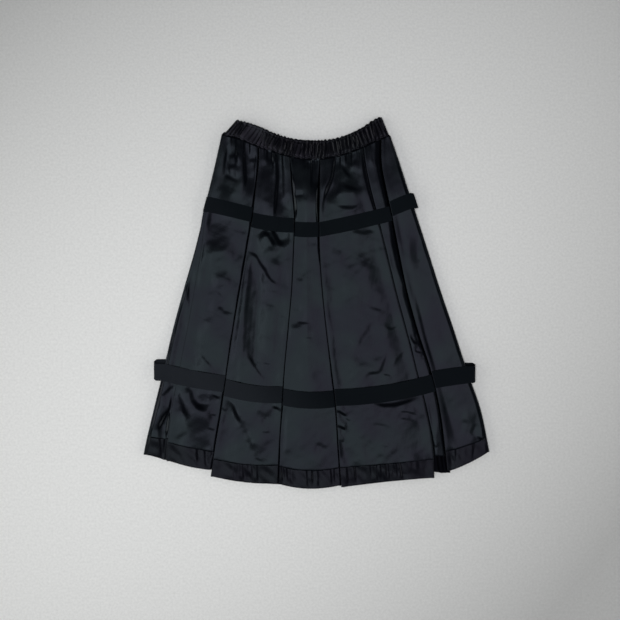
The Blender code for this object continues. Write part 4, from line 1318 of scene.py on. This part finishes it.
def build_back():
    """The back gores and their hem band, which lie on the surface."""
    columns, rows = BACK_GORE_GRID
    for number in range(BACK_GORES):
        share = np.linspace(number / BACK_GORES, (number + 1) / BACK_GORES, columns)[:, None]
        # Its last column is at the centre back in the first gore, and its first one in the second
        inset = np.zeros_like(share)
        inset[number - 1] = BACK_SEAM_SPLIT if number else -BACK_SEAM_SPLIT
        top = np.full_like(share, WAIST_SEAM[0][1])
        for _ in range(SETTLE_STEPS):
            top = WAIST_SEAM_CURVE(back_x(share, top))
        top = top - WAIST_GAP
        y = lerp(top + BACK_WAIST_ROW, back_hem_ys(share)[0], np.linspace(0, 1, rows))
        x = back_x(share, y) + inset
        ridge = BACK_SEAM_RIDGE * np.exp(-(((share - 0.5) / BACK_SEAM_WIDTH) ** 2))
        z = back_lift(x, y) + BACK_CLEAR + back_wrinkle(x, y) + ridge
        z = z + BACK_WAIST_RISE * ramp(y - top, *BACK_WAIST_RAMP)
        add_cloth(f"back_gore_{number + 1}", grid(x, y, z), "satin", flip=True)

    columns, rows = BACK_HEM_GRID
    share = np.linspace(0, 1, columns)[:, None]
    seam_y, edge_y = back_hem_ys(share)
    band = [(seam_y - SEAM_GAP - down, drop) for down, drop in BACK_HEM_GROOVE]
    for along in np.linspace(0, 1, rows):
        band.append((lerp(seam_y - BACK_HEM_START, edge_y + HEM_ROLL, along), 0.0))
    y, hang = as_rows(band + hem_turn(edge_y, BACK_TURNING_ROWS))
    x = back_x(share, y)
    z = BACK_CLEAR - hang + BACK_HEM_KEPT * back_wrinkle(x, y)
    add_cloth("back_hem", grid(x, y, z), "hem_satin", flip=True)


def front_top(x, y, pieces):
    """Highest cloth at a point, of the given front panels and side gores."""
    highest = np.zeros_like(x)
    for piece in pieces:
        if isinstance(piece, Panel):
            here = (LINE[piece.line_1](y) <= x) & (x <= LINE[piece.line_2](y))
            height = panel_height(piece, x, y)
        else:
            turn = turn_inwards(piece.outline)
            x_out = LINE[piece.outline](y)
            here = turn * (LINE[piece.line](y) - x) >= 0
            inside = np.maximum(turn * (x - x_out), FOLD_WIDTH)
            height = side_height(piece, x_out + turn * inside, y)
        highest = np.where(here, np.maximum(highest, height), highest)
    return highest


def tape_rest(x, y, pieces, reach):
    """Lowest underside of a stiff tape that bridges the hollows within its reach."""
    rest = np.zeros_like(x)
    for across in (-1, -0.5, 0, 0.5, 1):
        for up in (-1, 0, 1):
            rest = np.maximum(rest, front_top(x + across * reach, y + up * TAPE_REACH_Y, pieces))
    return rest + TAPE_GAP


def crossed_pieces(stretch):
    """The front panels and side gores that a stretch of strap crosses."""
    first = LINE_COLUMNS.index(stretch.start)
    crossed = LINE_COLUMNS[first:LINE_COLUMNS.index(stretch.end) + 1]
    panels = [panel for panel in PANELS if panel.line_1 in crossed and panel.line_2 in crossed]
    return panels + [side for side in SIDES if side.outline in (stretch.start, stretch.end)]


def strap_front_grid(which, stretch, ups):
    """Middle of the tape over the front, as a grid along and across it."""
    width = abs(float(LINE[stretch.end](0) - LINE[stretch.start](0)))
    shares = np.linspace(0.0, 1.0, max(TAPE_COLUMNS, int(width / TAPE_STEP)))
    share, up = np.meshgrid(shares, ups, indexing="ij")
    y = three_point((stretch.y_start, stretch.y_middle, stretch.y_end), share)
    y = y + (up - 0.5) * STRAP_WIDTH[which]
    x_start = LINE[stretch.start](y) + (FOLD_WIDTH if stretch.start == "left" else CAUGHT_INSET)
    x_end = LINE[stretch.end](y) - (FOLD_WIDTH if stretch.end == "right" else CAUGHT_INSET)
    x = lerp(x_start, x_end, share)
    free = np.full_like(x, TAPE_REACH)
    if stretch.start != "left":
        free = np.minimum(free, CAUGHT_REACH + x - x_start)
    if stretch.end != "right":
        free = np.minimum(free, CAUGHT_REACH + x_end - x)
    z = tape_rest(x, y, crossed_pieces(stretch), free)
    kernel = np.ones(TAPE_SMOOTH) / TAPE_SMOOTH
    for k in range(len(ups)):
        padded = np.pad(z[:, k], TAPE_SMOOTH // 2, mode="edge")
        z[:, k] = np.maximum(z[:, k], np.convolve(padded, kernel, mode="valid"))
    rise = stretch.slack * np.sin(math.pi * share) ** SLACK_POWER * (1 + STRAP_TILT * (2 * up - 1))
    return grid(x, y, z + rise + 0.5 * TAPE)


def strap_loop_grid(which, loop, ups, start):
    """Middle of the tape round a side and on to the back, from the front strap's end points, and
    which way the tape faces there."""
    turn = turn_inwards(loop)
    stand_off, rise = SIDE_LOOPS[(which, loop)]
    y = start[:, 1]
    outer = 0.5 * (start[:, 2] + 0.5 * TAPE)
    upright = y if which == "upper" else np.full_like(y, y.mean())
    middle_x = LINE[loop](upright) + turn * (outer - stand_off)
    radius = outer - 0.5 * TAPE
    columns = []
    normals = []
    for value in LOOP_ANGLES:
        angle = math.radians(value)
        x = middle_x - turn * radius * math.cos(angle)
        columns.append(np.stack([x, y + rise * (90 - value) / 180, outer + radius * math.sin(angle)], axis=1))
        normals.append((-turn * math.cos(angle), 0.0, math.sin(angle)))
    for share in LOOP_BACK_SHARES:
        back_y = y
        for _ in range(LOOP_SETTLE_STEPS):
            x = LINE[loop](back_y) + turn * BACK_REACH * share
            level_y = back_strap_y(which, x, back_y) + (ups - 0.5) * STRAP_WIDTH[which]
            back_y = lerp(y + rise, level_y, min(1.0, LOOP_SETTLE * share))
        columns.append(np.stack([x, back_y, np.full_like(x, 0.5 * TAPE)], axis=1))
        normals.append((0.0, 0.0, -1.0))
    return np.array(columns), np.array(normals)


def tape_tube(points, normals):
    """A closed tape round a grid of middle points: its face, a rounded edge, its back and the other
    edge, and the face's first row again."""
    normals = normals[:, None, :]
    along = points[:, -1:] - points[:, :1]
    along = along / np.linalg.norm(along, axis=2, keepdims=True)

    def edge(end, away, angles):
        turned = np.radians(angles)[None, :, None]
        return end + TAPE_HALF * (np.sin(turned) * normals + np.cos(turned) * away)

    face = points + TAPE_HALF * normals
    far = edge(points[:, -1:], along, TAPE_EDGE_ANGLES)
    back = points[:, ::-1] - TAPE_HALF * normals
    near = edge(points[:, :1], -along, TAPE_EDGE_ANGLES[::-1])
    return np.concatenate([face, far, back, near, face[:, :1]], axis=1)


def add_tape(which, number, points, normals):
    """A stretch of tape as a closed tube round a grid of middle points, in place of its solid, which it
    hides.
    """
    name = f"{which}_strap_{number}"
    piece = add_grid(name + "_tape", tape_tube(points, normals), "tape", flip=True, tube=True)
    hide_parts(name)


def build_strap(which, number, stretch):
    """One stretch of strap over the front, and round the side where it takes one in."""
    ups = np.linspace(0.0, 1.0, TAPE_ROWS)
    points = strap_front_grid(which, stretch, ups)
    normals = np.tile((0.0, 0.0, 1.0), (len(points), 1))
    if stretch.start == "left":
        loop_points, loop_normals = strap_loop_grid(which, "left", ups, points[0])
        points = np.concatenate([loop_points[::-1], points])
        normals = np.concatenate([loop_normals[::-1], normals])
    if stretch.end == "right":
        loop_points, loop_normals = strap_loop_grid(which, "right", ups, points[-1])
        points = np.concatenate([points, loop_points])
        normals = np.concatenate([normals, loop_normals])
    rests_on = [found.name + "_cloth" for found in crossed_pieces(stretch)]
    add_tape(which, number, points, normals)


def build_back_strap(which):
    """The stretch of strap across the back, on the surface and under the back gores."""
    columns, rows = BACK_TAPE_GRID
    share, up = np.meshgrid(np.linspace(0, 1, columns), np.linspace(0, 1, rows), indexing="ij")
    y = np.full_like(share, BACK_STRAP_HEIGHTS[which][1])
    for _ in range(SETTLE_STEPS):
        x = back_x(share, y)
        y = back_strap_y(which, x, y) + (up - 0.5) * STRAP_WIDTH[which]
    normals = np.tile((0.0, 0.0, -1.0), (columns, 1))
    add_tape(which, "back", grid(x, y, 0.5 * TAPE), normals)


def band_gathers(x, up):
    """Height of the waistband's gathers: fine, uneven, and pinched where the casing is sewn."""
    length, *sways = BAND_GATHER_WAVE
    phase = sway(x / length, x, *sways) + np.sin(BAND_TWIST * up + x / BAND_PITCH)
    slow = BAND_SLOW * np.sin(BAND_SLOW_PACE * phase + BAND_SLOW_TWIST * up)
    ridge = 0.5 + 0.5 * np.sin(phase + BAND_SKEW * np.sin(phase)) + slow
    change = np.sin(x / BAND_SIZE_PITCH + BAND_SIZE_TWIST * up) * beat(x, BAND_SIZE_BEAT)
    size = (BAND_SIZE + BAND_SIZE_CHANGE * change) * lerp(BAND_LOW_SIZE, 1.0, smoothstep(up / BAND_LOW_RUN))
    size = size * (1 - BAND_HIGH_LESS * ramp(up, *BAND_HIGH_RAMP))
    flat = ramp(x, BAND_FLAT[0], BAND_FLAT_RUN) * smoothstep((BAND_FLAT[1] - x) / BAND_FLAT_RUN)
    height = BAND_GATHER * ridge * size * (1 - BAND_FLATTENED * flat)
    for casing in BAND_CASINGS:
        height = height * (1 - BAND_PINCH[0] * np.exp(-(((up - casing) / BAND_PINCH[1]) ** 2)))
    for casing in BAND_CASINGS:
        height = height - BAND_STITCH_DIP[0] * np.exp(-(((up - casing) / BAND_STITCH_DIP[1]) ** 2))
    lean = lerp(*BAND_LEAN, ramp(x, BAND_FLAT[1], BAND_LEAN_RUN))
    lean = 2 * (lean + BAND_LEAN_CHANGE * beat(x, BAND_LEAN_BEAT)) * smoothstep(up / BAND_LEAN_TOP)
    return height + lean + BAND_RISE * (1 - smoothstep(up / BAND_RISE_RUN))


def band_section():
    """Rows of the waistband from outside to inside: share of the way up, extra height, and how far
    out of its middle each lies."""
    rows = [(up, 0.0, 1.0) for up in np.linspace(0.0, 1.0, BAND_ROWS)]
    rows += [(1.0, BAND_ROLL * math.cos(angle), math.sin(angle)) for angle in np.radians(BAND_ROLL_ANGLES)]
    rows += [(up, 0.0, -1.0) for up in BAND_INNER_ROWS]
    return np.array(rows).T


def build_waistband():
    """The waistband: a loop of gathered satin, out over the elastic and in again."""
    up, over, outward = band_section()
    outer = BAND + 0.5 * BAND_BORE
    seam_left, seam_right = WAIST_SEAM[0][0] + outer, WAIST_SEAM[-1][0] - outer
    top_left, top_right = WAIST_TOP[0][0] + outer, WAIST_TOP[-1][0] - outer
    wall = outer - BAND_ROLL + BAND_ROLL * outward
    tuck = BAND_TUCK * smoothstep((BAND_TUCK_RUN - up) / BAND_TUCK_RUN) * (outward > BAND_OUTSIDE)

    def span(share, dip, gather):
        """X and Y over a span of the band, and how far its gathers stand up."""
        here = lerp(seam_left, seam_right, share)
        seam_y = WAIST_SEAM_CURVE(here) + BAND_SEAM_SCALLOP * uneven_wave(here, *BAND_SEAM_WAVE)
        seam_y = seam_y + uneven_wave(here, *BAND_SEAM_FINE_WAVE) - BAND_SEAM_DIP
        bumps = sway(uneven_wave(here, *BAND_SCALLOP_WAVE), here, BAND_SCALLOP_FINE)
        bumps = bumps * sway(BAND_SCALLOP_SIZE, here, BAND_SCALLOP_CHANGE)
        top_y = WAIST_TOP_CURVE(lerp(top_left, top_right, share)) - BAND_ROLL - dip * np.sin(math.pi * share)
        top_y = top_y + BAND_SCALLOP * bumps
        x = lerp(lerp(seam_left, top_left, up), lerp(seam_right, top_right, up), share)
        gathers = gather * band_gathers(here, up) * np.clip(outward, BAND_INNER_GATHER, 1.0)
        return x, lerp(seam_y, top_y, up) + over, gathers - tuck

    share = np.linspace(0, 1, int(BAND_LENGTH / BAND_STEP))[:, None]
    x, y, gathers = span(share, 0.0, 1.0)
    front = grid(x, y, outer + wall + gathers - BAND_CLEAR)
    share = np.linspace(1, 0, BAND_BACK_COLUMNS)[:, None]
    x, y, gathers = span(share, BAND_BACK_DIP, BAND_BACK_GATHER)
    back = grid(x, y, outer - np.minimum(wall, outer - BAND_CLEAR) + BAND_BACK_RISE * np.abs(gathers))
    angles = np.radians(BAND_END_ANGLES)[:, None]
    out = (wall - BAND_CLEAR) * np.cos(angles)
    z = outer + (wall - BAND_CLEAR) * np.sin(angles)
    x, y, _ = span(np.ones_like(angles), 0.0, 0.0)
    right = grid(x + out, y, z)
    x, y, _ = span(np.zeros_like(angles), 0.0, 0.0)
    left = grid(x - out, y, z)[::-1]
    points = np.concatenate([front, right, back, left, front[:1]])
    band = add_grid("waistband_cloth", points, "waistband_satin", flip=True, ring=True)
    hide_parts("waistband")


def stitch_paths():
    """The hem's topstitching, on each front panel's band and each side gore's."""
    bands = [(band, band.line_1, band.line_2, panel_height, PANEL_STITCHES, STITCH_INSET) for band in PANELS]
    bands += [(band, band.line, band.outline, side_height, SIDE_STITCHES, 0.0) for band in SIDES]
    paths = []
    for piece, start, end, height, shares, inset in bands:
        share = np.linspace(*shares)
        edge_y = three_point(piece.edge, share)
        y = edge_y + HEM_STITCH_UP
        x = lerp(LINE[start](y) + inset, LINE[end](y) - inset, share)
        z = height(piece, x, y, three_point(piece.seam, share), edge_y)
        paths.append(np.stack([x, y, z], axis=1))
    return paths


def build_stitches():
    """Short stitches of thread along their paths, joined in one mesh."""
    places, sizes, lifts = np.array(STITCH_RINGS).T
    turns = 2 * math.pi * np.arange(STITCH_SIDES) / STITCH_SIDES
    up = np.array((0.0, 0.0, 1.0))
    verts = []
    faces = []
    for path in stitch_paths():
        at = np.concatenate([[0.0], np.cumsum(np.linalg.norm(np.diff(path, axis=0), axis=1))])
        for i in range(int(at[-1] / STITCH_PITCH)):
            reach = (i + STITCH_START) * STITCH_PITCH + places * STITCH_LENGTH
            spots = np.stack([np.interp(reach, at, path[:, k]) for k in range(3)], axis=1)
            direction = spots[-1] - spots[0]
            side = np.cross(direction / np.linalg.norm(direction), up)
            first = len(verts)
            for spot, size, lift in zip(spots, sizes, lifts):
                for turn in turns:
                    out = side * math.cos(turn) + up * math.sin(turn)
                    verts.append(spot + STITCH_RADIUS * size * out + lift * up)
            for ring in range(first, len(verts) - STITCH_SIDES, STITCH_SIDES):
                for k in range(STITCH_SIDES):
                    a = ring + k
                    b = ring + (k + 1) % STITCH_SIDES
                    faces.append((a, b, b + STITCH_SIDES, a + STITCH_SIDES))
    mesh = bpy.data.meshes.new("hem_stitches")
    mesh.from_pydata((np.array(verts) * MM).tolist(), [], faces)
    add_piece("hem_stitches", mesh, "thread")


def new_material(name):
    """A new material, its node tree and its shader."""
    material = bpy.data.materials.new(name)
    material.use_nodes = True
    return material, material.node_tree, material.node_tree.nodes["Principled BSDF"]


def connect(tree, node, inputs):
    """Gives a node's inputs their values, or links them to other nodes' sockets."""
    for name, value in inputs.items():
        if isinstance(value, bpy.types.NodeSocket):
            tree.links.new(value, node.inputs[name])
        else:
            node.inputs[name].default_value = value


def add_node(tree, kind, inputs, **settings):
    """A node with its settings and inputs."""
    node = tree.nodes.new("ShaderNode" + kind)
    for name, value in settings.items():
        setattr(node, name, value)
    connect(tree, node, inputs)
    return node.outputs


def maths(tree, operation, first, second):
    return add_node(tree, "Math", {0: first, 1: second}, operation=operation)["Value"]


def noise(tree, vector, scale, rough):
    return add_node(tree, "TexNoise", {"Vector": vector, "Scale": scale, "Detail": rough})["Fac"]


def mixed(tree, share, first, second):
    """A colour between two."""
    inputs = {"Factor": share, "A": first, "B": second}
    return add_node(tree, "Mix", inputs, data_type="RGBA")["Result"]


def mapped(tree, value, start, end, low=0.0, high=1.0, **settings):
    """A value's place between a start and an end, as one between low and high."""
    inputs = {"Value": value, "From Min": start, "From Max": end, "To Min": low, "To Max": high}
    return add_node(tree, "MapRange", inputs, **settings)["Result"]


def bumped(tree, height, strength, distance):
    inputs = {"Height": height, "Strength": strength, "Distance": distance}
    return add_node(tree, "Bump", inputs)["Normal"]


def cloth_material(name, cloth):
    """Woven cloth: uneven colour and roughness, and threads as a fine bump along the UVs."""
    material, tree, shader = new_material(name)
    spots = add_node(tree, "TexCoord", {})["Object"]
    patches = noise(tree, spots, *PATCHES)
    colour = mixed(tree, patches, (*cloth.dark, 1), (*cloth.light, 1))
    # Painted light: the colour turns lighter towards the lower left
    if cloth.worn:
        inputs = {0: spots, 1: PAINTED_LIGHT_WAY}
        along = add_node(tree, "VectorMath", inputs, operation="DOT_PRODUCT")["Value"]
        worn = mapped(tree, along, *PAINTED_LIGHT_FROM, interpolation_type="SMOOTHSTEP")
        colour = mixed(tree, worn, colour, (*cloth.worn, 1))
    sheen = mapped(tree, noise(tree, spots, *CLOUDS), *CLOUD_RANGE)
    tints = [tuple(part * share for part, share in zip(cloth.tint, shift)) for shift in TINT_SHIFTS]

    across, down, height = cloth.weave
    uv = add_node(tree, "UVMap", {}, uv_map="UVMap")["UV"]
    scale = (1 / (across * MM), 1 / (down * MM), 1)
    stretched = add_node(tree, "Mapping", {"Vector": uv, "Scale": scale})["Vector"]
    inputs = {"Vector": stretched, "Scale": THREAD_SCALE, "Distortion": THREAD_WOBBLE}
    threads = add_node(tree, "TexWave", inputs, wave_type="BANDS", bands_direction="X")["Fac"]
    woven = maths(tree, "ADD", threads, noise(tree, stretched, *SLUBS))
    connect(tree, shader, {
        "Base Color": colour,
        "Roughness": mapped(tree, patches, *PATCH_RANGE, *cloth.rough),
        "Specular IOR Level": cloth.specular,
        "Specular Tint": mixed(tree, sheen, (*tints[0], 1), (*tints[1], 1)),
        "Normal": bumped(tree, woven, WEAVE_STRENGTH, height * MM),
    })
    return material


MATERIALS = {name: cloth_material(name, cloth) for name, cloth in CLOTHS.items()}


def build_floor():
    """A plain pale floor with a faint linen-like grain, and painted shade that darkens it towards its
    corners.
    """
    half = 0.5 * FLOOR_SIZE
    corners = [(-half, -half, 0), (half, -half, 0), (half, half, 0), (-half, half, 0)]
    mesh = bpy.data.meshes.new("ground")
    mesh.from_pydata(corners, [], [(0, 1, 2, 3)])
    material, tree, shader = new_material("ground")
    spots = add_node(tree, "TexCoord", {})["Object"]
    grain = noise(tree, spots, *FLOOR_GRAIN)
    place = add_node(tree, "SeparateXYZ", {"Vector": spots})
    # Painted shade: the floor's colour is scaled down towards its corners
    shade = FLOOR_BRIGHT
    for axes, share in FLOOR_SHADE:
        term = share
        for axis in axes:
            term = maths(tree, "MULTIPLY", place[axis], term)
        shade = maths(tree, "ADD", shade, term)
    shade = maths(tree, "MAXIMUM", shade, FLOOR_LEAST)
    inputs = {0: mixed(tree, grain, *FLOOR_COLOURS), "Scale": shade}
    connect(tree, shader, {
        "Base Color": add_node(tree, "VectorMath", inputs, operation="SCALE")["Vector"],
        "Normal": bumped(tree, grain, *FLOOR_BUMP),
        "Roughness": FLOOR_ROUGH,
        "Specular IOR Level": FLOOR_SPECULAR,
    })
    mesh.materials.append(material)
    add_object("ground", mesh)


def aim(thing, place, target):
    """Puts a light or camera somewhere, facing a point."""
    away = np.array(place, dtype=float) - np.array(target, dtype=float)
    away = away / np.linalg.norm(away)
    level = (0.0, 1.0, 0.0) if abs(away[2]) > STEEP else (0.0, 0.0, 1.0)
    side = np.cross(level, away)
    side = side / np.linalg.norm(side)
    up = np.cross(away, side)
    rows = [(side[i], up[i], away[i], place[i]) for i in range(3)]
    thing.matrix_world = Matrix([*rows, (0, 0, 0, 1)])


def build_lights():
    for light in LIGHTS:
        lamp = bpy.data.lights.new(light.name, "AREA")
        lamp.shape = "RECTANGLE"
        lamp.size, lamp.size_y = light.size
        lamp.energy = light.radiance * math.pi * light.size[0] * light.size[1]
        lamp.color = light.colour
        placed = add_object(light.name, lamp)
        aim(placed, light.place, light.target or (*light.place[:2], 0.0))
        placed.visible_camera = False
    world = bpy.data.worlds.new("studio")
    world.use_nodes = True
    background = world.node_tree.nodes["Background"]
    background.inputs["Color"].default_value = WORLD_COLOUR
    background.inputs["Strength"].default_value = WORLD_STRENGTH
    bpy.context.scene.world = world


def build_camera():
    lens = bpy.data.cameras.new("camera")
    lens.sensor_width = SENSOR
    lens.lens = SENSOR * VIEW_HEIGHT / VIEW_WIDTH
    camera = add_object("camera", lens)
    aim(camera, (*VIEW_CENTRE, VIEW_HEIGHT), (*VIEW_CENTRE, 0.0))
    bpy.context.scene.camera = camera


def main():
    build_floor()
    for panel in PANELS:
        build_panel(panel)
    for side in SIDES:
        build_side(side)
    build_back()
    build_waistband()
    for which, stretches in STRAPS.items():
        for number, stretch in enumerate(stretches, start=1):
            build_strap(which, number, stretch)
        build_back_strap(which)
    build_stitches()
    build_lights()
    build_camera()
    bpy.context.scene.view_settings.view_transform = "Standard"


main()
